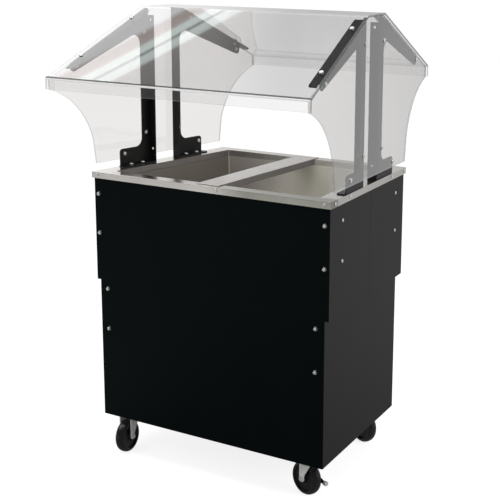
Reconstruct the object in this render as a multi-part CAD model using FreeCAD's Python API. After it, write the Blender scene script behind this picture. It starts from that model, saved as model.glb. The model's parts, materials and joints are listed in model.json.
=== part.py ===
"""Mobile salad bar: a stainless ice well in a black cabinet on casters, under a clear food shield.

Millimetres, +Z up.  The origin is on the floor, under the middle of the shield.  The front, where
people serve themselves, faces -Y.  Seen from above, the whole bar narrows evenly towards the rear.
"""

import FreeCAD
import Part
import math
import os
from FreeCAD import Vector

# ---------------------------------------------------------------------------
# Driving dimensions
# ---------------------------------------------------------------------------

# Table top
TOP_FRONT_WIDTH = 808.0      # width over the front edge
TOP_DEPTH = 564.0
TOP_HEIGHT = 865.0
TAPER_ANGLE = 7.5            # lean of each side in plan
STEEL = 1.5                  # stainless sheet
STEEL_BEND = 1.4             # outer radius of its bends
RIM_FACE = 18.5              # turned-down outer face
RIM_HEM = 4.7                # return under the outer face
SIDE_STRIP = 53.0            # top face beside the well
END_STRIP = 38.5             # top face before and behind the well
WELL_CORNER = 8.0
WELL_LIP = 18.0              # turned-down edge round the well
WELL_LEDGE = 2.5
WELL_HANGER = 9.0            # rim of the liner, hidden under the top
WELL_DEPTH = 215.0
WELL_FLOOR_CURVE = 5.0

# Divider bar
BAR_WIDTH = 75.0
BAR_LAP = 22.0               # how far each end lies over its strip
BAR_EDGE = 0.6               # turned-down edge that rests on the strips
BAR_FLANGE = 19.0            # deeper flange between the strips
BAR_PLAY = 2.0               # gap between the flange ends and the well lip

# Drain
DRAIN_BORE = 22.0
DRAIN_WALL = 2.5
STRAINER_DIAMETER = 64.0     # lies flush in the floor of the well, on the flange of the drain
STRAINER_RING = 15.0         # ring of its holes
STRAINER_HOLE = 4.0
STRAINER_HOLES = 8
DRAIN_FLANGE = 82.0
VALVE_DROP = 51.5            # underside of the well housing to the valve
VALVE_DIAMETER = 44.0
VALVE_LENGTH = 62.0
SPOUT_LENGTH = 40.0
STEM_DIAMETER = 12.0
STEM_LENGTH = 9.0
LEVER_LENGTH = 96.0
LEVER_WIDTH = 18.0
LEVER_SHEET = 3.0

# Cabinet
PANEL = 2.0                  # black steel sheet
SKIRT_INSET = 5.0            # rim edge to the face of the upper skirts
STEP_HEIGHT = 540.0          # underside of the upper skirts
STEP_INSET = 13.0            # lower section behind the upper one
BODY_BOTTOM = 117.0
SKIRT_FLANGE = 25.0          # inward flange at the front and rear edge of a skirt
SEAM_FLANGE = 15.0
SEAM_FROM_MIDDLE = 14.0
SEAM_GAP = 0.6
LOWER_REAR_SETBACK = 14.0    # lower section stops short at the rear
POST_LEG = 40.0
UPRIGHT_LEG = 30.0
UPRIGHT_FRONT = 190.0        # screw line of the front uprights, from the middle
UPRIGHT_REAR = 211.0
SHELF_LIP = 9.0

# Food shield
SHIELD_SHEET = 6.0
RIDGE_RISE = 464.3           # rim top to the top of the ridge
EAVE_RISE = 286.0            # rim top to the bend above the lip
LIP_RISE = 253.0             # rim top to the lower edge of the lip
RIDGE_HALF = 62.0
EAVE_HALF = 435.0
ROOF_OVERHANG = 7.4          # roof edge outside the rim edge
BEND_RADIUS = 10.0
PANEL_PROUD = 3.0            # end panel outside the rim edge
PANEL_LIFT = 21.0            # gap between the rim and the end panel
PANEL_FOOT_HALF = 262.0      # half length of the lower edge
WAIST_HALF = 272.0           # where the straight edge meets the hollow curve
WAIST_RISE = 95.0
HOLLOW_INSET = 102.0         # a point half way round the hollow curve: inside the lip, under its edge
HOLLOW_DROP = 56.0

# Brackets
BRACKET = 3.0                # black steel plate
BRACKET_BEND = 2.0           # outer radius of its bends
BRACKET_FLANGE = 28.0        # flange width over the plate
POST_NEAR = 49.0             # post edges from the middle of the side
POST_FAR = 82.0
FOOT_FAR = 173.0
FOOT_RISE = 51.0
FOOT_CORNER = 10.0
BRACKET_CURVE = 25.0
ARM_NEAR = 118.0             # two points on the lower edge of the arm, and its end
ARM_NEAR_DROP = 84.3         # under the ridge
ARM_FAR_INSET = 83.0         # inside the lip
ARM_FAR_RISE = 4.5           # over the bend above the lip
ARM_TIP_INSET = 69.0
ARM_CORNER = 12.0
ROOF_FLANGE_NEAR = 71.0
ROOF_FLANGE_INSET = 63.0     # its end inside the lip
FLANGE_CORNER = 8.0
FOOT_FLANGE_FAR = 178.0
POST_FLANGE_DROP = 26.0      # top of the post flange under the ridge
FLANGE_HOLE = 8.0
FLANGE_HOLE_RISES = (40.0, 425.0)

# Fasteners
BOLT = 6.0                   # shank of the shield bolts
BOLT_HEAD = 13.0
BOLT_HEAD_HEIGHT = 3.5
NUT_WIDTH = 10.0
NUT_HEIGHT = 5.0
SCREW = 4.0                  # shank of the sheet-metal screws
SCREW_HEAD = 10.0
SCREW_HEAD_HEIGHT = 2.5
SCREW_END = 6.0              # shank behind the last sheet
BOLT_END = 2.0               # shank behind a nut
CUP_WASHER = 19.0
CUP_HEIGHT = 2.5
ROOF_BOLT_NEAR = 125.0       # roof bolts: from the middle, and inside the lip
ROOF_BOLT_INSET = 112.0
FOOT_BOLTS = (93.0, 140.0)
FLANGE_BOLT_INSET = 15.0     # roof and foot bolts inside the rim edge
FOOT_PANEL_BOLTS = ((158.0, 37.0), (69.0, 91.0))
RIDGE_PANEL_BOLT = (68.0, 75.3)      # from the middle, and under the ridge
EAVE_PANEL_BOLT = (100.0, 25.0)      # inside the lip, and over the bend above it
RIM_SCREW_DROP = 8.0
RIM_END_SCREW = 20.0         # from the corner of the rim
RIM_MIDDLE_SCREW = 39.0      # the middle screw, right of the middle
RIM_SIDE_SCREWS_FRONT = (28.0, 131.0)
RIM_SIDE_SCREWS_REAR = (18.0, 120.0)
PANEL_SCREW_EDGE = 15.0
PANEL_SCREW_DROPS = (65.0, 182.0)
POST_SCREW_EDGE = 27.0
POST_SCREW_DROPS = (25.0, 148.0)
SKIRT_SCREW_DROPS = (65.0, 177.0)

# Casters
CASTER_HEIGHT = 130.0
WHEEL_DIAMETER = 101.0
TREAD_WIDTH = 30.0
TREAD_DEPTH = 13.0
TREAD_CURVE = 12.0
WEB_WIDTH = 18.0
HUB_DIAMETER = 26.0
CASTER_LEAD = 30.0           # swivel axis to wheel centre
FORK_GAP = 36.0
FORK = 3.0                   # zinc-plated steel
PLATE = 3.0
PLATE_WIDTH = 67.0
PLATE_LENGTH = 95.0
PLATE_CORNER = 6.0
PLATE_BOLTS_X = 45.0
PLATE_BOLTS_Y = 76.0
RACE_DIAMETER = 52.0
RACE_HEIGHT = 7.5
RACE_CHAMFER = 2.5
CROWN = 4.0
KINGPIN = 10.0
KINGPIN_HEAD = 20.0
KINGPIN_HEAD_HEIGHT = 3.5
KINGPIN_CHAMFER = 1.0
AXLE = 8.0
AXLE_HEX = 13.0
AXLE_HEX_HEIGHT = 3.5
CASTER_BOLT = 8.0
CASTER_HEX = 13.0
CASTER_HEX_HEIGHT = 5.0
SWIVEL_INSET = 70.84         # swivel axes inside the side edges of the top
FRONT_SWIVEL_SETBACK = 62.0  # front swivel axes behind the front edge of the top
REAR_SWIVEL_SETBACK = 76.0   # rear swivel axes before the rear edge of the top
LEG_TIP = 18.0               # width of a fork leg round the axle
LEVER = 3.0                  # brake lever: sheet, reach from the axle, drop under it, foot pad, boss
LEVER_REACH = 60.0
LEVER_DROP = 11.0
LEVER_HEIGHT = 9.0
KNOB_DIAMETER = 14.0
KNOB_LENGTH = 8.0
LEVER_BOSS = 20.0

# Clearances
SEAT = 0.3                   # between pieces that are only laid or bolted together
HOLE_PLAY = 0.3              # round a screw or bolt, on the radius
RUN = 0.05                   # round a turning pin, on the radius

# Rounded ends: corner radius as a share of half the width
END_ROUNDING = 0.9

# ---------------------------------------------------------------------------
# Worked-out sizes
# ---------------------------------------------------------------------------

TAPER = math.tan(math.radians(TAPER_ANGLE))
FRONT = -TOP_DEPTH / 2
REAR = TOP_DEPTH / 2
RIM_BOTTOM = TOP_HEIGHT - RIM_FACE
TOP_UNDERSIDE = TOP_HEIGHT - STEEL
PANEL_FRONT = FRONT + SKIRT_INSET
PANEL_REAR = REAR - SKIRT_INSET
LOWER_INSET = SKIRT_INSET + STEP_INSET
LOWER_REAR = PANEL_REAR - LOWER_REAR_SETBACK
LINER_INSET = LOWER_INSET + PANEL + SEAT
CASING_LOW = STEP_HEIGHT + PANEL
SHELF_TOP = CASTER_HEIGHT + PANEL
RIDGE_HEIGHT = TOP_HEIGHT + RIDGE_RISE
EAVE_HEIGHT = TOP_HEIGHT + EAVE_RISE
LIP_HEIGHT = TOP_HEIGHT + LIP_RISE
ROOF_PITCH = math.atan2(RIDGE_RISE - EAVE_RISE, EAVE_HALF - RIDGE_HALF)
ROOF_FLANGE_FAR = EAVE_HALF - ROOF_FLANGE_INSET
ROOF_BOLTS = (ROOF_BOLT_NEAR, EAVE_HALF - ROOF_BOLT_INSET)
PANEL_BOLTS = FOOT_PANEL_BOLTS + (
    (RIDGE_PANEL_BOLT[0], RIDGE_RISE - RIDGE_PANEL_BOLT[1]),
    (EAVE_HALF - EAVE_PANEL_BOLT[0], EAVE_RISE + EAVE_PANEL_BOLT[1]),
)
PLATE_OUTER = PANEL_PROUD - SHIELD_SHEET
PLATE_INNER = PLATE_OUTER - BRACKET
FLANGE_EDGE = PLATE_OUTER - BRACKET_FLANGE
THROUGH = 3 * PANEL
WELL_FLOOR = TOP_HEIGHT - WELL_DEPTH
LEDGE_HEIGHT = TOP_HEIGHT - WELL_LIP
WHEEL_RADIUS = WHEEL_DIAMETER / 2
RACE_LOW = CASTER_HEIGHT - PLATE - RACE_HEIGHT
CROWN_TOP = RACE_LOW - SEAT
CROWN_LOW = CROWN_TOP - CROWN
FRONT_SWIVEL_Y = FRONT + FRONT_SWIVEL_SETBACK
REAR_SWIVEL_Y = REAR - REAR_SWIVEL_SETBACK

# Each caster: side, swivel Y, heading of its wheel from the swivel axis, brake
CASTERS = {
    "front_left": (-1, FRONT_SWIVEL_Y, -84.0, False),
    "front_right": (1, FRONT_SWIVEL_Y, 164.0, True),
    "rear_left": (-1, REAR_SWIVEL_Y, -84.0, True),
    "rear_right": (1, REAR_SWIVEL_Y, 160.0, False),
}
SIDES = {"left": -1, "right": 1}
ENDS = {"front": -1, "rear": 1}

# ---------------------------------------------------------------------------
# Shapes that every piece uses
# ---------------------------------------------------------------------------

LAY = {
    "xy": lambda a, b: Vector(a, b, 0),
    "yz": lambda a, b: Vector(0, a, b),
    "xz": lambda a, b: Vector(a, 0, b),
}
NORMAL = {"xy": Vector(0, 0, 1), "yz": Vector(1, 0, 0), "xz": Vector(0, 1, 0)}
UP = Vector(0, 0, 1)
ORIGIN = Vector(0, 0, 0)


def corner_arc(before, corner, after, radius):
    """Start, middle and end of the arc that rounds one corner of an outline."""
    to_before = (before - corner).normalize()
    to_after = (after - corner).normalize()
    half = to_before.getAngle(to_after) / 2
    bisector = (to_before + to_after).normalize()
    centre = corner + bisector * (radius / math.sin(half))
    reach = radius / math.tan(half)
    return corner + to_before * reach, centre - bisector * radius, corner + to_after * reach


def outline(points, plane):
    """Closed wire through (a, b) or (a, b, corner radius) points of a plane."""
    corners = [LAY[plane](point[0], point[1]) for point in points]
    edges = []
    ends = []
    for index, point in enumerate(points):
        corner = corners[index]
        if len(point) == 3 and point[2] > 0:
            after = corners[(index + 1) % len(corners)]
            start, middle, end = corner_arc(corners[index - 1], corner, after, point[2])
            edges.append(Part.Arc(start, middle, end).toShape())
            ends.append((start, end))
        else:
            ends.append((corner, corner))
    for index, (_, leave) in enumerate(ends):
        arrive = ends[(index + 1) % len(ends)][0]
        if leave.distanceToPoint(arrive) > 1e-6:
            edges.append(Part.makeLine(leave, arrive))
    return Part.Wire(Part.__sortEdges__(edges))


def slab(points, plane, start, end):
    """Solid of an outline between two offsets along the normal of its plane."""
    face = Part.Face(outline(points, plane))
    face.translate(NORMAL[plane] * start)
    return face.extrude(NORMAL[plane] * (end - start))


def turned(points):
    """Solid of revolution about Z from an outline of (radius, height) points."""
    return Part.Face(outline(points, "xz")).revolve(ORIGIN, UP, 360)


def hexagon(width, low, high):
    """Hexagonal prism about Z, measured across the flats."""
    radius = width / math.sqrt(3)
    turns = [math.radians(60 * step) for step in range(6)]
    return slab([(radius * math.cos(turn), radius * math.sin(turn)) for turn in turns], "xy", low, high)


def box(x, y, z):
    """Block between two limits along each axis."""
    return Part.makeBox(x[1] - x[0], y[1] - y[0], z[1] - z[0], Vector(x[0], y[0], z[0]))


def eased(shape, radius, on_bend):
    """Rounds the edges whose box passes a test."""
    return shape.makeFillet(radius, [edge for edge in shape.Edges if on_bend(edge.BoundBox)])


def joined(shapes):
    """One solid of shapes that meet face to face."""
    return shapes[0].fuse(shapes[1:]).removeSplitter()


def aim(shape, point, direction):
    """Moves a shape made along +Z to a point, with its +Z along the direction."""
    placed = shape.copy()
    turn = FreeCAD.Placement(point, FreeCAD.Rotation(UP, direction))
    placed.Placement = turn.multiply(shape.Placement)
    return placed


def half_width(y, inset=0.0):
    """Half width of the tapered plan at a depth, less an inset."""
    return TOP_FRONT_WIDTH / 2 - (y - FRONT) * TAPER - inset


def plan(front, rear, inset, radius=0.0):
    """Tapered four-sided outline."""
    near = half_width(front, inset)
    far = half_width(rear, inset)
    return [(-near, front, radius), (near, front, radius), (far, rear, radius), (-far, rear, radius)]


def plan_block(front, rear, inset, low, high, radius=0.0):
    """Tapered block over the whole width."""
    return slab(plan(front, rear, inset, radius), "xy", low, high)


def side_block(side, front, rear, outer, inner, low, high):
    """Slanted strip along one side, between two insets."""
    points = [
        (side * half_width(front, outer), front),
        (side * half_width(rear, outer), rear),
        (side * half_width(rear, inner), rear),
        (side * half_width(front, inner), front),
    ]
    return slab(points, "xy", low, high)


def on_side(shape, side):
    """Lays a shape made about the plane x = 0 on the slanted right or left edge of the top."""
    placed = shape.copy()
    placed.rotate(ORIGIN, UP, TAPER_ANGLE)
    placed.translate(Vector(half_width(0), 0, 0))
    if side < 0:
        placed = placed.mirror(ORIGIN, Vector(1, 0, 0))
    return placed


def along(y):
    """Length along a slanted edge that covers a depth."""
    return y / math.cos(math.radians(TAPER_ANGLE))


def rod(diameter, start, end):
    """Round rod between two points."""
    axis = end - start
    return Part.makeCylinder(diameter / 2, axis.Length, start, axis)


def hole(diameter, start, end):
    """Round cut for a rod, with play."""
    return rod(diameter + 2 * HOLE_PLAY, start, end)


def save(name, *solids):
    """Writes one node, as a single solid or a group of separate ones."""
    shape = solids[0] if len(solids) == 1 else Part.makeCompound(list(solids))
    shape.exportStep("parts/" + name + ".step")


# ---------------------------------------------------------------------------
# Fasteners: where they sit, and their shapes
# ---------------------------------------------------------------------------


def pan_head(diameter, height, shank, length):
    """Bolt or screw with a low round head above z = 0 and its shank below."""
    radius = diameter / 2
    slope = height / 2
    return turned([
        (0, -length), (shank / 2, -length), (shank / 2, 0), (radius, 0), (radius, height - slope),
        (radius - slope, height), (0, height),
    ])


def nut(width, height, bore):
    """Hexagonal nut under z = 0."""
    return hexagon(width, -height, 0).cut(rod(bore, Vector(0, 0, -height), ORIGIN))


def bolt_pair(point, direction, grip):
    """Shield bolt with its head at a point, and its nut below the sheets it holds."""
    length = grip + NUT_HEIGHT + BOLT_END
    bolt = pan_head(BOLT_HEAD, BOLT_HEAD_HEIGHT, BOLT, length)
    fastener = nut(NUT_WIDTH, NUT_HEIGHT, BOLT + 2 * RUN)
    return aim(bolt, point, direction), aim(fastener, point - direction * grip, direction)


def side_normal(side):
    """Outward direction of a slanted side."""
    turn = math.radians(TAPER_ANGLE)
    return Vector(side * math.cos(turn), math.sin(turn), 0)


def side_point(side, depth, height, outward):
    """Point of a slanted side at a depth, a distance outside the rim edge."""
    edge = Vector(side * half_width(0), 0, height)
    turn = math.radians(TAPER_ANGLE)
    run = Vector(-side * math.sin(turn), math.cos(turn), 0)
    return edge + run * along(depth) + side_normal(side) * outward


def flange_points(depths, height):
    """Points over the bracket flanges, for every bracket."""
    return [
        Vector(side * half_width(end * depth, FLANGE_BOLT_INSET), end * depth, height)
        for side in SIDES.values() for end in ENDS.values() for depth in depths
    ]


def roof_normal(y):
    """Direction square to the roof slope."""
    lean = math.copysign(math.sin(ROOF_PITCH), y)
    return Vector(0, lean, math.cos(ROOF_PITCH))


def roof_height(y, depth=0.0):
    """Height of the slope at a distance from the middle, at a depth under its outer face."""
    return EAVE_HEIGHT + (EAVE_HALF - abs(y)) * math.tan(ROOF_PITCH) - depth / math.cos(ROOF_PITCH)


def roof_bolt_seats():
    """Seats of the roof bolts on the outer face, with their directions."""
    seats = []
    for point in flange_points(ROOF_BOLTS, 0):
        seats.append((Vector(point.x, point.y, roof_height(point.y)), roof_normal(point.y)))
    return seats


def panel_bolt_seats(side):
    """Seats of the bolts through one end panel."""
    return [
        side_point(side, end * depth, TOP_HEIGHT + rise, PANEL_PROUD)
        for end in ENDS.values() for depth, rise in PANEL_BOLTS
    ]


def rim_screw_seats():
    """Seats of the screws in the turned-down face of the top, with their directions."""
    height = TOP_HEIGHT - RIM_SCREW_DROP
    seats = []
    for end, y in ((-1, FRONT), (1, REAR)):
        corner = half_width(y) - RIM_END_SCREW
        for x in (-corner, RIM_MIDDLE_SCREW, corner):
            seats.append((Vector(x, y, height), Vector(0, end, 0)))
    depths = [FRONT + run for run in RIM_SIDE_SCREWS_FRONT]
    depths += [REAR - run for run in RIM_SIDE_SCREWS_REAR]
    for side in SIDES.values():
        for depth in depths:
            seats.append((side_point(side, depth, height, 0), side_normal(side)))
    return seats


def panel_screw_seats():
    """Seats of the screws through the front panel."""
    seats = []
    for side in SIDES.values():
        for drop in PANEL_SCREW_DROPS:
            x = side * (half_width(PANEL_FRONT, SKIRT_INSET) - PANEL_SCREW_EDGE)
            seats.append(Vector(x, PANEL_FRONT, TOP_HEIGHT - drop))
        for drop in POST_SCREW_DROPS:
            x = side * (half_width(PANEL_FRONT, LOWER_INSET) - POST_SCREW_EDGE)
            seats.append(Vector(x, PANEL_FRONT, STEP_HEIGHT - drop))
    return seats


def skirt_screw_seats(side):
    """Seats of the screws through the upper skirts of one side."""
    inset = -SKIRT_INSET * math.cos(math.radians(TAPER_ANGLE))
    return [
        side_point(side, depth, TOP_HEIGHT - drop, inset)
        for depth in (-UPRIGHT_FRONT, UPRIGHT_REAR) for drop in SKIRT_SCREW_DROPS
    ]


def drill(shape, seats, diameter, length):
    """Cuts a round hole inward from each seat."""
    cuts = [hole(diameter, point + way * length, point - way * length) for point, way in seats]
    return shape.cut(cuts)


# ---------------------------------------------------------------------------
# Table top, well and divider bar
# ---------------------------------------------------------------------------


def well_plan(grow=0.0):
    """Outline of the well, wider or narrower than its opening in the top."""
    front = FRONT + END_STRIP - grow
    rear = REAR - END_STRIP + grow
    return plan(front, rear, SIDE_STRIP - grow, WELL_CORNER + grow)


def top_frame():
    """Top sheet with its folded rim and the lip round the well."""
    shell = plan_block(FRONT, REAR, 0, RIM_BOTTOM, TOP_HEIGHT)
    shell = eased(shell, STEEL_BEND, lambda bounds: bounds.ZMin > TOP_UNDERSIDE)
    inside = plan_block(FRONT + STEEL, REAR - STEEL, STEEL, RIM_BOTTOM + STEEL, TOP_UNDERSIDE)
    below = plan_block(FRONT + RIM_HEM, REAR - RIM_HEM, RIM_HEM, RIM_BOTTOM - STEEL, RIM_BOTTOM + STEEL)
    lip = slab(well_plan(STEEL), "xy", LEDGE_HEIGHT, TOP_HEIGHT)
    well = slab(well_plan(), "xy", LEDGE_HEIGHT - STEEL, TOP_HEIGHT + STEEL)
    frame = joined([shell.cut([inside, below]), lip]).cut(well)
    frame = drill(frame, rim_screw_seats(), SCREW, RIM_HEM)
    feet = [(point, UP) for point in flange_points(FOOT_BOLTS, TOP_HEIGHT)]
    return drill(frame, feet, BOLT, RIM_HEM)


def tub(grow, low, high, curve):
    """Solid of the well with a rounded foot."""
    body = slab(well_plan(grow), "xy", low, high)
    foot = [edge for edge in body.Edges if edge.BoundBox.ZMax < low + SEAT]
    return body.makeFillet(curve, foot)


def well_liner():
    """Deep well that hangs under the lip of the top by its ledge."""
    ledge = slab(well_plan(WELL_HANGER), "xy", LEDGE_HEIGHT - STEEL, LEDGE_HEIGHT)
    outer = tub(STEEL - WELL_LEDGE, WELL_FLOOR - STEEL, LEDGE_HEIGHT, WELL_FLOOR_CURVE + STEEL)
    inner = tub(-WELL_LEDGE, WELL_FLOOR, LEDGE_HEIGHT + STEEL, WELL_FLOOR_CURVE)
    seat = STRAINER_DIAMETER + 2 * SEAT
    drain = rod(seat, Vector(0, 0, WELL_FLOOR - STEEL), Vector(0, 0, WELL_FLOOR + STEEL))
    return joined([ledge, outer]).cut([inner, drain])


def divider_bar():
    """Inverted channel that laps over the front and rear strips and lifts off."""
    start = FRONT + END_STRIP - BAR_LAP
    end = REAR - END_STRIP + BAR_LAP
    half = BAR_WIDTH / 2
    high = TOP_HEIGHT + BAR_EDGE + STEEL
    shell = box((-half, half), (start, end), (TOP_HEIGHT, high))
    shell = eased(shell, STEEL_BEND, lambda bounds: bounds.ZMin > TOP_HEIGHT + BAR_EDGE)
    inside = box((STEEL - half, half - STEEL), (start + STEEL, end - STEEL), (TOP_HEIGHT, high - STEEL))
    reach = BAR_LAP + BAR_PLAY
    flanges = [
        box(x, (start + reach, end - reach), (high - BAR_FLANGE, high - STEEL))
        for x in ((-half, STEEL - half), (half - STEEL, half))
    ]
    return joined([shell.cut(inside)] + flanges)


# ---------------------------------------------------------------------------
# Drain under the well
# ---------------------------------------------------------------------------

PIPE_DIAMETER = DRAIN_BORE + 2 * DRAIN_WALL
PIPE_TOP = WELL_FLOOR - STEEL
VALVE_TOP = STEP_HEIGHT - VALVE_DROP
VALVE_LOW = VALVE_TOP - VALVE_LENGTH
VALVE_MIDDLE = VALVE_TOP - VALVE_LENGTH / 2
STEM_REACH = VALVE_DIAMETER / 2 + STEM_LENGTH


def drain_strainer():
    """Perforated disc that lies flush in the floor of the well, over the drain."""
    low = Vector(0, 0, PIPE_TOP)
    high = Vector(0, 0, WELL_FLOOR)
    disc = rod(STRAINER_DIAMETER, low, high)
    turns = [2 * math.pi * step / STRAINER_HOLES for step in range(STRAINER_HOLES)]
    middles = [Vector(math.cos(turn), math.sin(turn), 0) * (STRAINER_RING / 2) for turn in turns]
    return disc.cut([rod(STRAINER_HOLE, low + middle, high + middle) for middle in middles])


def drain_pipe():
    """Pipe from the floor of the well down to the valve, with a flange under the well."""
    flange = rod(DRAIN_FLANGE, Vector(0, 0, PIPE_TOP - DRAIN_WALL), Vector(0, 0, PIPE_TOP))
    tube = rod(PIPE_DIAMETER, Vector(0, 0, VALVE_TOP), Vector(0, 0, PIPE_TOP))
    bore = rod(DRAIN_BORE, Vector(0, 0, VALVE_TOP), Vector(0, 0, PIPE_TOP))
    return joined([flange, tube]).cut(bore)


def drain_valve():
    """Ball valve body with its spout and the boss of its stem."""
    half = VALVE_DIAMETER / 2
    neck = PIPE_DIAMETER / 2 + DRAIN_WALL
    body = turned([
        (0, VALVE_LOW), (neck, VALVE_LOW), (half, VALVE_LOW + half - neck), (half, VALVE_TOP - half + neck),
        (neck, VALVE_TOP), (0, VALVE_TOP),
    ])
    spout = rod(PIPE_DIAMETER, Vector(0, 0, VALVE_LOW - SPOUT_LENGTH), Vector(0, 0, VALVE_LOW))
    stem = rod(STEM_DIAMETER, Vector(0, 0, VALVE_MIDDLE), Vector(0, STEM_REACH, VALVE_MIDDLE))
    bore = rod(DRAIN_BORE, Vector(0, 0, VALVE_LOW - SPOUT_LENGTH), Vector(0, 0, VALVE_LOW))
    return joined([body, spout, stem]).cut(bore)


def drain_lever():
    """Flat lever on the stem; a quarter turn points it down."""
    half = LEVER_WIDTH / 2
    curve = half * END_ROUNDING
    near = STEM_REACH - LEVER_SHEET
    bar = slab([
        (-half, VALVE_MIDDLE - half, curve), (LEVER_LENGTH, VALVE_MIDDLE - half, curve),
        (LEVER_LENGTH, VALVE_MIDDLE + half, curve), (-half, VALVE_MIDDLE + half, curve),
    ], "xz", near, STEM_REACH)
    axis = Vector(0, near, VALVE_MIDDLE)
    return bar.cut(rod(STEM_DIAMETER + 2 * RUN, axis, axis + Vector(0, LEVER_SHEET, 0)))


# ---------------------------------------------------------------------------
# Cabinet
# ---------------------------------------------------------------------------


def front_panel():
    """Full-height front sheet, notched down each side below the step."""
    top = TOP_UNDERSIDE - SEAT
    wide = half_width(PANEL_FRONT, SKIRT_INSET)
    narrow = half_width(PANEL_FRONT, LOWER_INSET)
    sheet = slab([
        (-narrow, BODY_BOTTOM), (narrow, BODY_BOTTOM), (narrow, STEP_HEIGHT), (wide, STEP_HEIGHT),
        (wide, top), (-wide, top), (-wide, STEP_HEIGHT), (-narrow, STEP_HEIGHT),
    ], "xz", PANEL_FRONT, PANEL_FRONT + PANEL)
    sheet = drill(sheet, rim_screw_seats(), SCREW, SKIRT_INSET + PANEL)
    way = Vector(0, -1, 0)
    return drill(sheet, [(point, way) for point in panel_screw_seats()], SCREW, PANEL)


def rear_apron():
    """Rear sheet of the well housing, above the open storage."""
    near = half_width(PANEL_REAR, SKIRT_INSET)
    sheet = box((-near, near), (PANEL_REAR - PANEL, PANEL_REAR), (STEP_HEIGHT, TOP_UNDERSIDE - SEAT))
    return drill(sheet, rim_screw_seats(), SCREW, SKIRT_INSET + PANEL)


def side_skirt(side, end):
    """Half of an upper side skirt, with flanges at its foot, its outer end and the seam."""
    limit = end * (PANEL_REAR - PANEL - SEAT)
    seam = SEAM_FROM_MIDDLE + end * SEAM_GAP / 2
    front = min(limit, seam)
    rear = max(limit, seam)
    top = TOP_UNDERSIDE - SEAT
    inner = SKIRT_INSET + PANEL
    sheet = side_block(side, front, rear, SKIRT_INSET, inner, STEP_HEIGHT, top)
    foot = side_block(side, front, rear, inner, LOWER_INSET - SEAT, STEP_HEIGHT, STEP_HEIGHT + PANEL)
    flanges = []
    for edge, width in ((limit, SKIRT_FLANGE), (seam, SEAM_FLANGE)):
        near = edge if edge == front else edge - PANEL
        low = CASING_LOW + PANEL + SEAT
        flanges.append(side_block(side, near, near + PANEL, inner, SKIRT_INSET + width, low, top - SEAT))
    skirt = joined([sheet, foot] + flanges)
    skirt = drill(skirt, rim_screw_seats(), SCREW, SKIRT_INSET + THROUGH)
    way = side_normal(side)
    skirt = drill(skirt, [(point, way) for point in skirt_screw_seats(side)], SCREW, 2 * PANEL)
    way = Vector(0, -1, 0)
    return drill(skirt, [(point, way) for point in panel_screw_seats()], SCREW, THROUGH)


def lower_side(side):
    """Lower side panel, which stops short of the rear."""
    front = PANEL_FRONT + PANEL + SEAT
    inner = LOWER_INSET + PANEL
    return side_block(side, front, LOWER_REAR, LOWER_INSET, inner, BODY_BOTTOM, CASING_LOW - SEAT)


def side_uprights():
    """Angles behind the skirt screws that carry the top."""
    uprights = []
    outer = SKIRT_INSET + PANEL + SEAT
    web_inner = outer + PANEL
    low = CASING_LOW + PANEL
    for side in SIDES.values():
        for middle in (-UPRIGHT_FRONT, UPRIGHT_REAR):
            front = middle - UPRIGHT_LEG / 2
            rear = middle + UPRIGHT_LEG / 2
            web = side_block(side, front, rear, outer, web_inner, low, TOP_UNDERSIDE)
            inner = outer + UPRIGHT_LEG
            leg = side_block(side, front, front + PANEL, web_inner, inner, low, TOP_UNDERSIDE)
            seats = [(point, side_normal(side)) for point in skirt_screw_seats(side)]
            uprights.append(drill(joined([web, leg]), seats, SCREW, THROUGH))
    return uprights


def corner_post(side, end):
    """Angle between the bottom shelf and the floor of the well housing."""
    face = PANEL_FRONT + PANEL + SEAT if end < 0 else LOWER_REAR
    front = min(face, face - end * POST_LEG)
    rear = max(face, face - end * POST_LEG)
    web = side_block(side, front, rear, LINER_INSET, LINER_INSET + PANEL, SHELF_TOP, CASING_LOW)
    near = face if end < 0 else face - PANEL
    inner = LINER_INSET + POST_LEG
    leg = side_block(side, near, near + PANEL, LINER_INSET + PANEL, inner, SHELF_TOP, CASING_LOW)
    way = Vector(0, -1, 0)
    return drill(joined([web, leg]), [(point, way) for point in panel_screw_seats()], SCREW, THROUGH)


def casing_floor():
    """Sheet that closes the well housing from below, with a hole for the drain."""
    front = PANEL_FRONT + PANEL + SEAT
    rear = PANEL_REAR - PANEL - SEAT
    sheet = plan_block(front, rear, SKIRT_INSET + PANEL + SEAT, CASING_LOW, CASING_LOW + PANEL)
    low = Vector(0, 0, CASING_LOW)
    return sheet.cut(rod(PIPE_DIAMETER + 2 * PANEL, low, low + UP * PANEL))


def bottom_shelf():
    """Shelf of the storage space, with a lip turned down on all sides; the casters bolt to it."""
    front = PANEL_FRONT + PANEL + SEAT
    low = CASTER_HEIGHT - SHELF_LIP
    shell = plan_block(front, LOWER_REAR, LINER_INSET, low, SHELF_TOP)
    inside = plan_block(front + PANEL, LOWER_REAR - PANEL, LINER_INSET + PANEL, low, CASTER_HEIGHT)
    bolts = [(Vector(x, y, SHELF_TOP), UP) for x, y in caster_bolt_places()]
    return drill(shell.cut(inside), bolts, CASTER_BOLT, 2 * PANEL)


# ---------------------------------------------------------------------------
# Food shield
# ---------------------------------------------------------------------------


def roof_arch(depth):
    """Cross-section of the roof from front lip to rear lip, at a depth under its outer face."""
    radius = max(BEND_RADIUS - depth, 0)
    lip = EAVE_HALF - depth
    eave = roof_height(lip, depth)
    crown = RIDGE_HALF - depth * math.tan(ROOF_PITCH / 2)
    ridge = RIDGE_HEIGHT - depth
    rising = [(-lip, LIP_HEIGHT), (-lip, eave, radius), (-crown, ridge, radius)]
    falling = [(crown, ridge, radius), (lip, eave, radius), (lip, LIP_HEIGHT)]
    return rising + falling


def roof_layer(outer, inner):
    """Solid between two depths under the roof, over the whole width."""
    points = roof_arch(outer) + roof_arch(inner)[::-1]
    return slab(points, "yz", -TOP_FRONT_WIDTH, TOP_FRONT_WIDTH)


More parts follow.
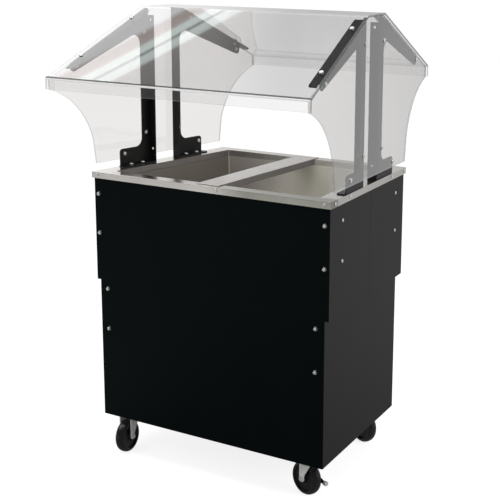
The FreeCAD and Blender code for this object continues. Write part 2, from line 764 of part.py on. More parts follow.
def under_roof():
    """Space below the roof that its supports are trimmed to."""
    arch = roof_arch(SHIELD_SHEET + SEAT)
    arch[0] = (arch[0][0], 0)
    arch[-1] = (arch[-1][0], 0)
    return slab(arch, "yz", -TOP_FRONT_WIDTH, TOP_FRONT_WIDTH)


def roof_sheet():
    """One clear sheet in five facets: lip, slope, ridge, slope, lip."""
    sheet = roof_layer(0, SHIELD_SHEET)
    cover = plan_block(-TOP_DEPTH, TOP_DEPTH, -ROOF_OVERHANG, LIP_HEIGHT, RIDGE_HEIGHT)
    return drill(sheet.common(cover), roof_bolt_seats(), BOLT, 2 * SHIELD_SHEET)


def panel_half():
    """Outline of the rear half of an end panel: foot, waist, hollow curve and roof."""
    top = RIDGE_HEIGHT
    corner = EAVE_HALF
    start = LAY["yz"](along(WAIST_HALF), TOP_HEIGHT + WAIST_RISE)
    middle = LAY["yz"](along(EAVE_HALF - HOLLOW_INSET), LIP_HEIGHT - HOLLOW_DROP)
    end = LAY["yz"](along(corner), LIP_HEIGHT)
    foot = TOP_HEIGHT + PANEL_LIFT
    edges = [
        Part.makeLine(LAY["yz"](0, foot), LAY["yz"](along(PANEL_FOOT_HALF), foot)),
        Part.makeLine(LAY["yz"](along(PANEL_FOOT_HALF), foot), start),
        Part.Arc(start, middle, end).toShape(),
        Part.makeLine(end, LAY["yz"](along(corner), top)),
        Part.makeLine(LAY["yz"](along(corner), top), LAY["yz"](0, top)),
        Part.makeLine(LAY["yz"](0, top), LAY["yz"](0, foot)),
    ]
    return Part.Face(Part.Wire(edges))


def end_panel(side):
    """Clear end panel, with a hollow curve down its front and rear edges."""
    half = panel_half().extrude(Vector(SHIELD_SHEET, 0, 0))
    half.translate(Vector(PLATE_OUTER, 0, 0))
    other = half.mirror(ORIGIN, Vector(0, 1, 0))
    panel = on_side(joined([half, other]), side).common(under_roof())
    seats = [(point, side_normal(side)) for point in panel_bolt_seats(side)]
    return drill(panel, seats, BOLT, 2 * SHIELD_SHEET)


def bracket_plate():
    """Outline of a bracket: foot, post and arm, with the roof still to be trimmed off."""
    arm_near = RIDGE_RISE - ARM_NEAR_DROP
    arm_far = EAVE_RISE + ARM_FAR_RISE
    arm_far_half = EAVE_HALF - ARM_FAR_INSET
    slope = (arm_near - arm_far) / (arm_far_half - ARM_NEAR)
    elbow = arm_near + slope * (ARM_NEAR - POST_FAR)
    points = [
        (POST_NEAR, 0), (FOOT_FAR, 0), (FOOT_FAR, FOOT_RISE, FOOT_CORNER),
        (POST_FAR, FOOT_RISE, BRACKET_CURVE), (POST_FAR, elbow, BRACKET_CURVE),
        (arm_far_half, arm_far, ARM_CORNER), (EAVE_HALF - ARM_TIP_INSET, RIDGE_RISE), (POST_NEAR, RIDGE_RISE),
    ]
    return [(along(point[0]), TOP_HEIGHT + point[1]) + point[2:] for point in points]


def post_flange():
    """Flange on the inner edge of a post, with its two holes."""
    near = along(POST_NEAR)
    top = RIDGE_HEIGHT - POST_FLANGE_DROP
    flange = box((FLANGE_EDGE, PLATE_INNER), (near, near + BRACKET), (TOP_HEIGHT, top))
    middle = (FLANGE_EDGE + PLATE_INNER) / 2
    for rise in FLANGE_HOLE_RISES:
        centre = Vector(middle, near, TOP_HEIGHT + rise)
        flange = flange.cut(rod(FLANGE_HOLE, centre, centre + Vector(0, BRACKET, 0)))
    return flange


def foot_flange():
    """Flange under a foot, with one rounded corner."""
    near = along(POST_NEAR)
    far = along(FOOT_FLANGE_FAR)
    points = [(FLANGE_EDGE, near), (PLATE_INNER, near), (PLATE_INNER, far), (FLANGE_EDGE, far, FLANGE_CORNER)]
    return slab(points, "xy", TOP_HEIGHT, TOP_HEIGHT + BRACKET)


def roof_flange(side, end):
    """Flange of an arm, bent to the roof it carries, with one rounded corner at its lower end."""
    near = end * ROOF_FLANGE_NEAR
    far = end * ROOF_FLANGE_FAR
    strip = slab([
        (side * half_width(near, -FLANGE_EDGE), near),
        (side * half_width(far, -FLANGE_EDGE), far, FLANGE_CORNER),
        (side * half_width(far, -PLATE_INNER), far),
        (side * half_width(near, -PLATE_INNER), near),
    ], "xy", TOP_HEIGHT, RIDGE_HEIGHT)
    depth = SHIELD_SHEET + SEAT
    return roof_layer(depth, depth + BRACKET).common(strip)


def bracket(side, end):
    """Bracket between the top and the roof: folded plate with flanges on foot, post and arm."""
    plate = slab(bracket_plate(), "yz", PLATE_INNER, PLATE_OUTER)
    folded = joined([plate, post_flange(), foot_flange()])
    post_edge = along(POST_NEAR) + SEAT
    foot_edge = TOP_HEIGHT + SEAT
    folded = eased(folded, BRACKET_BEND, lambda bounds: bounds.XMin > PLATE_OUTER - SEAT and (
        bounds.YMax < post_edge or bounds.ZMax < foot_edge
    ))
    if end < 0:
        folded = folded.mirror(ORIGIN, Vector(0, 1, 0))
    folded = on_side(folded, side).common(under_roof())
    whole = joined([folded, roof_flange(side, end)])
    whole = drill(whole, roof_bolt_seats(), BOLT, 4 * SHIELD_SHEET)
    feet = [(point, UP) for point in flange_points(FOOT_BOLTS, TOP_HEIGHT)]
    whole = drill(whole, feet, BOLT, 2 * BRACKET)
    seats = [(point, side_normal(side)) for point in panel_bolt_seats(side)]
    return drill(whole, seats, BOLT, 3 * SHIELD_SHEET)


# ---------------------------------------------------------------------------
# Casters, made about the swivel axis with the wheel towards +X
# ---------------------------------------------------------------------------


def swivel_place(side, y):
    """Swivel axis of a caster: all four lie the same distance inside the tapered sides."""
    return Vector(side * half_width(y, SWIVEL_INSET), y, 0)


def caster_bolt_places():
    """Plan places of the bolts of all four caster plates."""
    places = []
    for side, y, _, _ in CASTERS.values():
        centre = swivel_place(side, y)
        for x in (-PLATE_BOLTS_X / 2, PLATE_BOLTS_X / 2):
            for run in (-PLATE_BOLTS_Y / 2, PLATE_BOLTS_Y / 2):
                places.append((centre.x + x, centre.y + run))
    return places


def caster_plate(side, y):
    """Mounting plate with its raceway and kingpin."""
    half_x = PLATE_WIDTH / 2
    half_y = PLATE_LENGTH / 2
    corner = PLATE_CORNER
    low = CASTER_HEIGHT - PLATE
    plate = slab([
        (-half_x, -half_y, corner), (half_x, -half_y, corner),
        (half_x, half_y, corner), (-half_x, half_y, corner),
    ], "xy", low, CASTER_HEIGHT)
    head = CROWN_LOW - SEAT
    pin = KINGPIN / 2
    head_edge = KINGPIN_HEAD / 2
    race_edge = RACE_DIAMETER / 2
    race = turned([
        (0, head - KINGPIN_HEAD_HEIGHT), (head_edge - KINGPIN_CHAMFER, head - KINGPIN_HEAD_HEIGHT),
        (head_edge, head - KINGPIN_HEAD_HEIGHT + KINGPIN_CHAMFER), (head_edge, head), (pin, head),
        (pin, RACE_LOW), (race_edge - RACE_CHAMFER, RACE_LOW), (race_edge, RACE_LOW + RACE_CHAMFER),
        (race_edge, low), (0, low),
    ])
    centre = swivel_place(side, y)
    whole = joined([plate, race])
    whole.translate(centre)
    bolts = [(Vector(x, run, CASTER_HEIGHT), UP) for x, run in caster_bolt_places()]
    return drill(whole, bolts, CASTER_BOLT, 2 * PLATE)


def place_caster(shape, side, y, heading):
    """Turns a caster piece to its heading and sets it under its plate."""
    placed = shape.copy()
    placed.rotate(ORIGIN, UP, heading)
    placed.translate(swivel_place(side, y))
    return placed


def across_axle(shape):
    """Lays a piece turned about Z along the axle."""
    return aim(shape, Vector(CASTER_LEAD, 0, WHEEL_RADIUS), Vector(0, -1, 0))


def caster_fork():
    """Crown with two legs that reach down to the axle."""
    half = FORK_GAP / 2
    wide = half + FORK
    race = RACE_DIAMETER / 2
    boss = LEG_TIP / 2
    front = CASTER_LEAD + boss
    crown = slab([
        (-race, -wide, race / 2), (front, -wide), (front, wide), (-race, wide, race / 2),
    ], "xy", CROWN_LOW, CROWN_TOP)
    low = WHEEL_RADIUS - boss
    curve = boss * END_ROUNDING
    leg = [
        (-race / 2, CROWN_TOP), (front, CROWN_TOP), (front, low, curve), (CASTER_LEAD - boss, low, curve),
        (CASTER_LEAD - boss, WHEEL_RADIUS + boss, 2 * boss), (-race / 2, CROWN_LOW),
    ]
    legs = [slab(leg, "xz", start, start + FORK) for start in (-wide, half)]
    kingpin = rod(KINGPIN + 2 * RUN, Vector(0, 0, CROWN_LOW), Vector(0, 0, CROWN_TOP))
    axle = Vector(CASTER_LEAD, -wide, WHEEL_RADIUS)
    bore = rod(AXLE + 2 * RUN, axle, axle + Vector(0, 2 * wide, 0))
    return joined([crown] + legs).cut([kingpin, bore])


def caster_wheel():
    """Wheel with a rounded tread, a web and a long hub."""
    bore = AXLE / 2 + RUN
    hub = HUB_DIAMETER / 2
    tread = WHEEL_RADIUS - TREAD_DEPTH
    half_hub = FORK_GAP / 2 - SEAT
    half_web = WEB_WIDTH / 2
    half_tread = TREAD_WIDTH / 2
    wheel = turned([
        (bore, -half_hub), (hub, -half_hub), (hub, -half_web), (tread, -half_web), (tread, -half_tread),
        (WHEEL_RADIUS, -half_tread, TREAD_CURVE), (WHEEL_RADIUS, half_tread, TREAD_CURVE),
        (tread, half_tread), (tread, half_web), (hub, half_web), (hub, half_hub), (bore, half_hub),
    ])
    return across_axle(wheel)


def caster_axle(brake):
    """Axle bolt with its hexagonal head and nut outside the fork, longer where it holds a lever."""
    reach = FORK_GAP / 2 + FORK
    far = reach + LEVER + 2 * SEAT if brake else reach
    shank = rod(AXLE, Vector(0, 0, -reach), Vector(0, 0, far))
    head = hexagon(AXLE_HEX, -reach - AXLE_HEX_HEIGHT, -reach)
    fastener = hexagon(AXLE_HEX, far, far + AXLE_HEX_HEIGHT)
    return across_axle(joined([shank, head, fastener]))


def brake_lever():
    """Brake lever that turns on the axle outside one leg, with a round foot pad beyond the wheel."""
    inner = FORK_GAP / 2 + FORK + SEAT
    outer = inner + LEVER
    boss = LEVER_BOSS / 2
    curve = boss * END_ROUNDING
    tip = CASTER_LEAD - LEVER_REACH
    height = WHEEL_RADIUS - LEVER_DROP
    half = LEVER_HEIGHT / 2
    arm = slab([
        (CASTER_LEAD + boss, WHEEL_RADIUS - boss, curve), (CASTER_LEAD + boss, WHEEL_RADIUS + boss, curve),
        (CASTER_LEAD - boss, WHEEL_RADIUS + boss, boss), (tip, height + half), (tip, height - half),
        (CASTER_LEAD - boss, WHEEL_RADIUS - boss, boss),
    ], "xz", -outer, -inner)
    middle = -(inner + outer) / 2
    knob = rod(KNOB_DIAMETER, Vector(tip - KNOB_LENGTH, middle, height), Vector(tip, middle, height))
    axis = Vector(CASTER_LEAD, -outer, WHEEL_RADIUS)
    return joined([arm, knob]).cut(rod(AXLE + 2 * RUN, axis, axis + Vector(0, LEVER, 0)))


def caster_bolts():
    """Bolts with their nuts through the caster plates and the shelf."""
    low = CASTER_HEIGHT - PLATE
    bolts = []
    for x, y in caster_bolt_places():
        head = hexagon(CASTER_HEX, low - CASTER_HEX_HEIGHT, low)
        shank = rod(CASTER_BOLT, Vector(0, 0, low), Vector(0, 0, SHELF_TOP))
        fastener = hexagon(CASTER_HEX, SHELF_TOP, SHELF_TOP + CASTER_HEX_HEIGHT)
        bolt = joined([head, shank, fastener])
        bolt.translate(Vector(x, y, 0))
        bolts.append(bolt)
    return bolts


# ---------------------------------------------------------------------------
# Build
# ---------------------------------------------------------------------------


def save_top():
    """Table top, well, divider bar and drain."""
    save("top_frame", top_frame())
    save("well_liner", well_liner())
    save("divider_bar", divider_bar())
    save("drain_strainer", drain_strainer())
    save("drain_pipe", drain_pipe())
    save("drain_valve", drain_valve())
    save("drain_lever", drain_lever())


def save_cabinet():
    """Panels and frame of the cabinet."""
    save("front_panel", front_panel())
    save("rear_apron", rear_apron())
    save("casing_floor", casing_floor())
    save("bottom_shelf", bottom_shelf())
    save("side_uprights", *side_uprights())
    for side_name, side in SIDES.items():
        save("lower_side_" + side_name, lower_side(side))
        for end_name, end in ENDS.items():
            save("side_skirt_" + end_name + "_" + side_name, side_skirt(side, end))
            save("corner_post_" + end_name + "_" + side_name, corner_post(side, end))


def save_shield():
    """Roof, end panels and brackets."""
    save("roof_sheet", roof_sheet())
    for side_name, side in SIDES.items():
        save("end_panel_" + side_name, end_panel(side))
        for end_name, end in ENDS.items():
            save("bracket_" + end_name + "_" + side_name, bracket(side, end))


def save_fasteners():
    """Bolts, nuts, screws and washers, each kind as one group."""
    roof_grip = SHIELD_SHEET + SEAT + BRACKET
    roof_pairs = [bolt_pair(point, way, roof_grip) for point, way in roof_bolt_seats()]
    save("roof_bolts", *[pair[0] for pair in roof_pairs])
    save("roof_nuts", *[pair[1] for pair in roof_pairs])
    panel_grip = SHIELD_SHEET + BRACKET
    panel_pairs = [
        bolt_pair(point, side_normal(side), panel_grip)
        for side in SIDES.values() for point in panel_bolt_seats(side)
    ]
    save("end_panel_bolts", *[pair[0] for pair in panel_pairs])
    save("end_panel_nuts", *[pair[1] for pair in panel_pairs])
    foot = pan_head(BOLT_HEAD, BOLT_HEAD_HEIGHT, BOLT, BRACKET + STEEL + NUT_HEIGHT)
    save("foot_bolts", *[aim(foot, point, UP) for point in flange_points(FOOT_BOLTS, TOP_HEIGHT + BRACKET)])
    rim = pan_head(SCREW_HEAD, SCREW_HEAD_HEIGHT, SCREW, SKIRT_INSET + PANEL + SCREW_END)
    save("rim_screws", *[aim(rim, point, way) for point, way in rim_screw_seats()])
    skirt = pan_head(SCREW_HEAD, SCREW_HEAD_HEIGHT, SCREW, 2 * PANEL + SCREW_END)
    save("skirt_screws", *[
        aim(skirt, point, side_normal(side)) for side in SIDES.values() for point in skirt_screw_seats(side)
    ])
    screw = pan_head(SCREW_HEAD, SCREW_HEAD_HEIGHT, SCREW, CUP_HEIGHT + 2 * PANEL + SCREW_END)
    cup = turned([
        (SCREW / 2 + HOLE_PLAY, 0), (CUP_WASHER / 2, 0), (SCREW_HEAD / 2, CUP_HEIGHT),
        (SCREW / 2 + HOLE_PLAY, CUP_HEIGHT),
    ])
    way = Vector(0, -1, 0)
    save("panel_screws", *[aim(screw, point + way * CUP_HEIGHT, way) for point in panel_screw_seats()])
    save("panel_cup_washers", *[aim(cup, point, way) for point in panel_screw_seats()])
    save("caster_bolts", *caster_bolts())


def save_casters():
    """Four swivel casters; two of them have a brake lever."""
    for name, (side, y, heading, brake) in CASTERS.items():
        save("caster_plate_" + name, caster_plate(side, y))
        save("caster_fork_" + name, place_caster(caster_fork(), side, y, heading))
        save("caster_wheel_" + name, place_caster(caster_wheel(), side, y, heading))
        save("caster_axle_" + name, place_caster(caster_axle(brake), side, y, heading))
        if brake:
            save("brake_lever_" + name, place_caster(brake_lever(), side, y, heading))


os.makedirs("parts", exist_ok=True)
save_top()
save_cabinet()
save_shield()
save_fasteners()
save_casters()
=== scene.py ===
# %% [markdown]
# # A mobile salad bar in Blender
#
# The real object is a stainless ice well in a black sheet-steel cabinet on four swivel casters, under
# a clear acrylic food shield.  Its solids come from a CAD model, in metres, and stay where they are.
# Blender adds what a camera sees: eased edges, turned screw heads, tyres, brushed metal, powder coat
# and clear sheet.  Each step below says what the real piece is, how it could be made, and why it is
# made this way.

# %% Load the solids
import json
import math

import bmesh
import bpy
import numpy as np
from mathutils import Matrix, Vector

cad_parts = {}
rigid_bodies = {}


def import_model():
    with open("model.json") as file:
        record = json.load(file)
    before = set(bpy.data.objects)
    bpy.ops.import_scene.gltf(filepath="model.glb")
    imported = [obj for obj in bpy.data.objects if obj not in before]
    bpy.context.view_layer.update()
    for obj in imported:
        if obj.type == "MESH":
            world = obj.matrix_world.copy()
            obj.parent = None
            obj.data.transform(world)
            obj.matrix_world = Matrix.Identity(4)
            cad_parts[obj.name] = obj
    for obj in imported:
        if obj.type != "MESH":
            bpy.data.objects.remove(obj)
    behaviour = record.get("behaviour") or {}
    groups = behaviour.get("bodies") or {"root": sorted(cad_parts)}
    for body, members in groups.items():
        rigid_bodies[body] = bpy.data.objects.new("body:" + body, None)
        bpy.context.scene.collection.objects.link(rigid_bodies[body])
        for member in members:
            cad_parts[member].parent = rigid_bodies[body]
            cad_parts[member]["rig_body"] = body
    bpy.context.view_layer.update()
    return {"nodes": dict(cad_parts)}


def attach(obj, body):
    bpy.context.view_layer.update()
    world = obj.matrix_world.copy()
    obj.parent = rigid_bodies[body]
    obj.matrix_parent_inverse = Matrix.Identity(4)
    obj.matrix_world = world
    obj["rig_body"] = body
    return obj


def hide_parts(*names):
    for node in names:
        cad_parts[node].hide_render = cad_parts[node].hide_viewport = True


for leftover in list(bpy.data.objects):
    bpy.data.objects.remove(leftover)
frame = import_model()
solids = frame["nodes"]

# %% [markdown]
# ## The viewpoint
#
# The photograph was taken from the front right, a little above the food shield, with a long lens.  A
# camera could be aimed with a Track To constraint, but its roll would be a guess.  Here its three
# directions are written out, as they were worked out from the edges of the table top and the brackets.

# %% The viewpoint
EYE = Vector((2.06532, -3.13547, 1.5658))
RIGHTWARD = Vector((0.8306956, 0.5567252, -0.0013617))
DOWNWARD = Vector((0.1342168, -0.2026388, -0.9700121))
AHEAD = Vector((-0.5403061, 0.8056020, -0.2430530))

optics = bpy.data.cameras.new("viewpoint")
optics.lens = 93.88
optics.sensor_width = 36.0
optics.clip_end = 200.0
viewpoint = bpy.data.objects.new("viewpoint", optics)
turn = Matrix((RIGHTWARD, -DOWNWARD, -AHEAD)).transposed().to_4x4()
viewpoint.matrix_world = Matrix.Translation(EYE) @ turn
bpy.context.scene.collection.objects.link(viewpoint)
bpy.context.scene.camera = viewpoint
bpy.context.scene.view_settings.view_transform = "Standard"
print("camera height:", EYE.z, "m, focal length:", optics.lens, "mm")

# %% [markdown]
# ## Building materials from nodes
#
# Every finish below is a small node tree.  The same few moves come back in each: a noise that is
# drawn out along one axis, a range for a value, a mix of two colours, and a bump.  Writing each move
# once as a helper keeps the finishes short enough to read.

# %% Helpers for node trees


def new_finish(name):
    """A new material with its node tree and its main shader."""
    material = bpy.data.materials.new(name)
    material.use_nodes = True
    tree = material.node_tree
    return material, tree, tree.nodes["Principled BSDF"]


def grain(tree, scale, stretch=(1.0, 1.0, 1.0), detail=3.0):
    """Noise in repeats per metre, drawn out along an axis by a small stretch."""
    place = tree.nodes.new("ShaderNodeTexCoord")
    mapping = tree.nodes.new("ShaderNodeMapping")
    mapping.inputs["Scale"].default_value = stretch
    noise = tree.nodes.new("ShaderNodeTexNoise")
    noise.inputs["Scale"].default_value = scale
    noise.inputs["Detail"].default_value = detail
    tree.links.new(place.outputs["Object"], mapping.inputs["Vector"])
    tree.links.new(mapping.outputs["Vector"], noise.inputs["Vector"])
    return noise.outputs["Fac"]


def between(tree, factor, low, high):
    """A value that follows a noise from low to high."""
    ranged = tree.nodes.new("ShaderNodeMapRange")
    ranged.inputs["From Min"].default_value = 0.3
    ranged.inputs["From Max"].default_value = 0.7
    ranged.inputs["To Min"].default_value = low
    ranged.inputs["To Max"].default_value = high
    tree.links.new(factor, ranged.inputs["Value"])
    return ranged.outputs["Result"]


def blend_colours(tree, factor, dark, light):
    """A colour that follows a noise from dark to light."""
    mix = tree.nodes.new("ShaderNodeMix")
    mix.data_type = "RGBA"
    mix.inputs[6].default_value = (*dark, 1.0)
    mix.inputs[7].default_value = (*light, 1.0)
    tree.links.new(factor, mix.inputs[0])
    return mix.outputs[2]


def emboss(tree, shader, height, depth):
    """Bump of a depth in metres."""
    bump = tree.nodes.new("ShaderNodeBump")
    bump.inputs["Distance"].default_value = depth
    tree.links.new(height, bump.inputs["Height"])
    tree.links.new(bump.outputs["Normal"], shader.inputs["Normal"])


def arithmetic(tree, operation, first, second):
    """A Math node on two sockets or numbers."""
    sum_node = tree.nodes.new("ShaderNodeMath")
    sum_node.operation = operation
    for slot, value in enumerate((first, second)):
        if isinstance(value, (int, float)):
            sum_node.inputs[slot].default_value = value
        else:
            tree.links.new(value, sum_node.inputs[slot])
    return sum_node.outputs[0]


# %% [markdown]
# ## Floor, background and light
#
# The bar stands in a white studio.  A white backdrop could be lit until it is white, but that light
# would also wash out the object.  Instead the floor and the world are white only for rays that come
# straight from the camera or through the clear sheet, and the lamps stay at a plain level.  What
# polished faces mirror is set apart: a dark room, a low bright wall behind the bar, a window above its
# front, and the ceiling that shows in the left half of the roof as a beam and strips of skylight.

# %% The world


def ramp(tree, value, start, end, low=0.0, high=1.0):
    """A value that eases from low at start to high at end."""
    ranged = tree.nodes.new("ShaderNodeMapRange")
    ranged.interpolation_type = "SMOOTHSTEP"
    for name, number in (("From Min", start), ("From Max", end), ("To Min", low), ("To Max", high)):
        ranged.inputs[name].default_value = number
    tree.links.new(value, ranged.inputs["Value"])
    return ranged.outputs["Result"]


def facing_way(tree, vector, way):
    """How closely a direction agrees with another: 1 along it, 0 square to it."""
    dot = tree.nodes.new("ShaderNodeVectorMath")
    dot.operation = "DOT_PRODUCT"
    dot.inputs[1].default_value = Vector(way).normalized()
    tree.links.new(vector, dot.inputs[0])
    return dot.outputs["Value"]


def added(tree, *values):
    """Sum of several sockets or numbers."""
    total = values[0]
    for value in values[1:]:
        total = arithmetic(tree, "ADD", total, value)
    return total


def multiplied(tree, *values):
    """Product of several sockets or numbers."""
    total = values[0]
    for value in values[1:]:
        total = arithmetic(tree, "MULTIPLY", total, value)
    return total


SKY_LIGHT = 0.5
DARK_ROOM = 0.13
WALL_BRIGHT = 0.92
WALL_DIM = 0.50
FRONT_WINDOW = (-0.54, -0.25, 0.80)
WINDOW_STRENGTH = 2.4
CEILING = (-0.66, 0.40, 0.65)
CEILING_STRENGTH = 2.9
CEILING_SLANT = 0.54
CEILING_BAND = (-0.230, -0.160)
CEILING_ACROSS = (0.8307, 0.3479, 0.4346)
CEILING_DOWN = (0.1342, -0.8830, 0.4505)
CEILING_STRIPS = (
    (0.00, (0.74, 0.74, 0.75)), (0.28, (0.80, 0.80, 0.81)), (0.33, (0.46, 0.40, 0.38)),
    (0.42, (0.52, 0.45, 0.42)), (0.45, (0.80, 0.90, 0.86)), (0.51, (0.84, 0.92, 0.90)),
    (0.53, (0.20, 0.21, 0.20)), (0.56, (0.78, 0.88, 0.85)), (0.63, (0.74, 0.80, 0.78)),
    (0.66, (0.30, 0.29, 0.28)), (1.00, (0.26, 0.25, 0.24)),
)


def bright_surroundings(tree, way):
    """Strength of what polished faces mirror: a dark room, a low bright wall and a front window."""
    axes = tree.nodes.new("ShaderNodeSeparateXYZ")
    tree.links.new(way, axes.inputs["Vector"])
    behind = ramp(tree, axes.outputs["Y"], -0.15, 0.45)
    low = ramp(tree, axes.outputs["Z"], 0.36, 0.58, 1.0, 0.0)
    level = ramp(tree, axes.outputs["X"], -0.62, -0.50, WALL_BRIGHT, WALL_DIM)
    wall = multiplied(tree, behind, low, level)
    window = ramp(tree, facing_way(tree, way, FRONT_WINDOW), 0.93, 0.98, 0.0, WINDOW_STRENGTH)
    return added(tree, wall, window, DARK_ROOM)


def lit_ceiling(tree, way, strength):
    """The ceiling that the roof mirrors on its left: pale, with one beam and two strips of skylight."""
    across = facing_way(tree, way, CEILING_ACROSS)
    down = facing_way(tree, way, CEILING_DOWN)
    slant = added(tree, down, multiplied(tree, across, CEILING_SLANT))
    strips = tree.nodes.new("ShaderNodeValToRGB")
    strips.color_ramp.elements.remove(strips.color_ramp.elements[0])
    strips.color_ramp.elements[0].position = 1.0
    for place, colour in CEILING_STRIPS:
        stop = strips.color_ramp.elements[-1] if place == 1.0 else strips.color_ramp.elements.new(place)
        stop.color = (*colour, 1.0)
    reach = tree.nodes.new("ShaderNodeMapRange")
    reach.inputs["From Min"].default_value, reach.inputs["From Max"].default_value = CEILING_BAND
    tree.links.new(slant, reach.inputs["Value"])
    tree.links.new(reach.outputs["Result"], strips.inputs["Fac"])
    near = ramp(tree, facing_way(tree, way, CEILING), 0.940, 0.985)
    left = ramp(tree, across, 0.036, -0.030)
    ceiling = tree.nodes.new("ShaderNodeBackground")
    tree.links.new(strips.outputs["Color"], ceiling.inputs["Color"])
    tree.links.new(multiplied(tree, near, left, strength, CEILING_STRENGTH), ceiling.inputs["Strength"])
    return ceiling.outputs[0]


def studio_world():
    """White for the camera, soft grey for lighting, and a room of its own for mirrors."""
    world = bpy.data.worlds.new("studio")
    world.use_nodes = True
    tree = world.node_tree
    sky = tree.nodes["Background"]
    path = tree.nodes.new("ShaderNodeLightPath")
    place = tree.nodes.new("ShaderNodeTexCoord")
    way = place.outputs["Generated"]
    glossy = multiplied(tree, bright_surroundings(tree, way), path.outputs["Is Glossy Ray"])
    plain = multiplied(tree, path.outputs["Is Diffuse Ray"], SKY_LIGHT)
    seen = arithmetic(tree, "MAXIMUM", path.outputs["Is Camera Ray"], path.outputs["Is Transmission Ray"])
    tree.links.new(added(tree, glossy, plain, seen), sky.inputs["Strength"])
    sky.inputs["Color"].default_value = (1.0, 1.0, 1.0, 1.0)
    both = tree.nodes.new("ShaderNodeAddShader")
    tree.links.new(sky.outputs[0], both.inputs[0])
    tree.links.new(lit_ceiling(tree, way, path.outputs["Is Glossy Ray"]), both.inputs[1])
    tree.links.new(both.outputs[0], tree.nodes["World Output"].inputs["Surface"])
    bpy.context.scene.world = world


studio_world()
print("world: plain light", SKY_LIGHT, "with a mirrored room of its own")

# %% [markdown]
# A floor lit until it is white would lose the shadow.  This one glows for the camera and is grey
# besides, so that the two add up to white and the soft shadow stays.  Mirrors see it dim in front of
# the bar, but for one paler stripe, and brighter behind the bar and to its left.

# %% The floor

FLOOR_GLOW = 0.84
FLOOR_BEHIND = 0.50
FLOOR_LEFT = 0.55
FLOOR_STRIPE = 0.46
FLOOR_FRONT = 0.02
FLOOR_GREY = (0.36, 0.36, 0.36)
MIRRORED_GREY = (0.04, 0.04, 0.04)


def studio_floor(half):
    """A wide pale floor that keeps the soft shadow of the bar."""
    mesh = bpy.data.meshes.new("studio_floor")
    corners = [(-half, -half, 0), (half, -half, 0), (half, half, 0), (-half, half, 0)]
    mesh.from_pydata(corners, [], [(0, 1, 2, 3)])
    floor = bpy.data.objects.new("studio_floor", mesh)
    bpy.context.scene.collection.objects.link(floor)
    material, tree, shader = new_finish("pale_floor")
    tree.nodes.remove(shader)
    path = tree.nodes.new("ShaderNodeLightPath")
    place = tree.nodes.new("ShaderNodeTexCoord")
    axes = tree.nodes.new("ShaderNodeSeparateXYZ")
    tree.links.new(place.outputs["Object"], axes.inputs["Vector"])
    behind = ramp(tree, axes.outputs["Y"], -2.2, 2.5, 0.0, FLOOR_BEHIND)
    before = ramp(tree, axes.outputs["Y"], -1.0, -2.4)
    start = ramp(tree, axes.outputs["X"], -2.20, -1.95)
    fading = ramp(tree, axes.outputs["X"], -1.9, -0.6, 1.0, 0.5)
    stripe = multiplied(tree, start, fading, FLOOR_STRIPE)
    beside = multiplied(tree, before, added(tree, stripe, FLOOR_FRONT))
    left_glow = ramp(tree, axes.outputs["X"], -0.42, -0.62, 0.0, FLOOR_LEFT)
    seen = arithmetic(tree, "MAXIMUM", path.outputs["Is Camera Ray"], path.outputs["Is Transmission Ray"])
    mirrored = path.outputs["Is Glossy Ray"]
    glossy = multiplied(tree, added(tree, behind, beside, left_glow), mirrored)
    glow = tree.nodes.new("ShaderNodeEmission")
    tree.links.new(added(tree, multiplied(tree, seen, FLOOR_GLOW), glossy), glow.inputs["Strength"])
    matte = tree.nodes.new("ShaderNodeBsdfDiffuse")
    tree.links.new(blend_colours(tree, mirrored, FLOOR_GREY, MIRRORED_GREY), matte.inputs["Color"])
    both = tree.nodes.new("ShaderNodeAddShader")
    tree.links.new(glow.outputs[0], both.inputs[0])
    tree.links.new(matte.outputs[0], both.inputs[1])
    tree.links.new(both.outputs[0], tree.nodes["Material Output"].inputs["Surface"])
    mesh.materials.append(material)


studio_floor(60.0)
print("floor: pale, with the soft shadow of the bar")

# %% [markdown]
# Three large square lamps give soft light from the right, the front and above.  Sheet that is as
# flat as this would show each lamp as a bright square, so only the top one may be mirrored.

# %% The lamps


def softbox(name, place, target, size, power, mirrored=True):
    """A square lamp that faces a point of the object."""
    lamp = bpy.data.lights.new(name, "AREA")
    lamp.shape = "SQUARE"
    lamp.size = size
    lamp.energy = power
    box = bpy.data.objects.new(name, lamp)
    box.location = place
    box.rotation_euler = (Vector(target) - Vector(place)).to_track_quat("-Z", "Y").to_euler()
    box.visible_glossy = mirrored
    box.visible_camera = False
    bpy.context.scene.collection.objects.link(box)


softbox("right_softbox", (3.0, -0.3, 1.9), (0.2, 0.0, 0.7), 1.6, 50.0, mirrored=False)
softbox("front_softbox", (-1.2, -3.4, 2.6), (0.0, 0.0, 0.7), 1.6, 22.0, mirrored=False)
softbox("top_softbox", (0.0, -0.3, 3.6), (0.0, 0.0, 0.8), 2.0, 45.0)
print("lamps: three softboxes")

# %% [markdown]
# ## Metals
#
# The top is stainless sheet with a dull brushed finish, the caster forks are zinc plated, and the
# screws are bright steel.  A mirror-smooth metal would look like chrome, so each gets a roughness
# that wanders and a fine bump, which is drawn out along the brushing where there is one.  The right
# end of the top's front strip is darker in the photograph, so its colour is darkened there by place.
# That darkening is painted shade, standing in for a dark reflection.

# %% Brushed and plated metal


def metal(name, dark, light, rough, brush_scale, brush_stretch, depth, bare=1.0):
    """Metal with a grain: two tones, a range of roughness, a fine bump and a share of bare metal."""
    material, tree, shader = new_finish(name)
    shader.inputs["Metallic"].default_value = bare
    cloud = grain(tree, 9.0, detail=4.0)
    brush = grain(tree, brush_scale, brush_stretch, detail=5.0)
    tone = arithmetic(tree, "ADD", multiplied(tree, cloud, 0.5), multiplied(tree, brush, 0.5))
    mixed = blend_colours(tree, between(tree, tone, 0.0, 1.0), dark, light)
    tree.links.new(mixed, shader.inputs["Base Color"])
    tree.links.new(between(tree, brush, rough[0], rough[1]), shader.inputs["Roughness"])
    emboss(tree, shader, brush, depth)
    return material


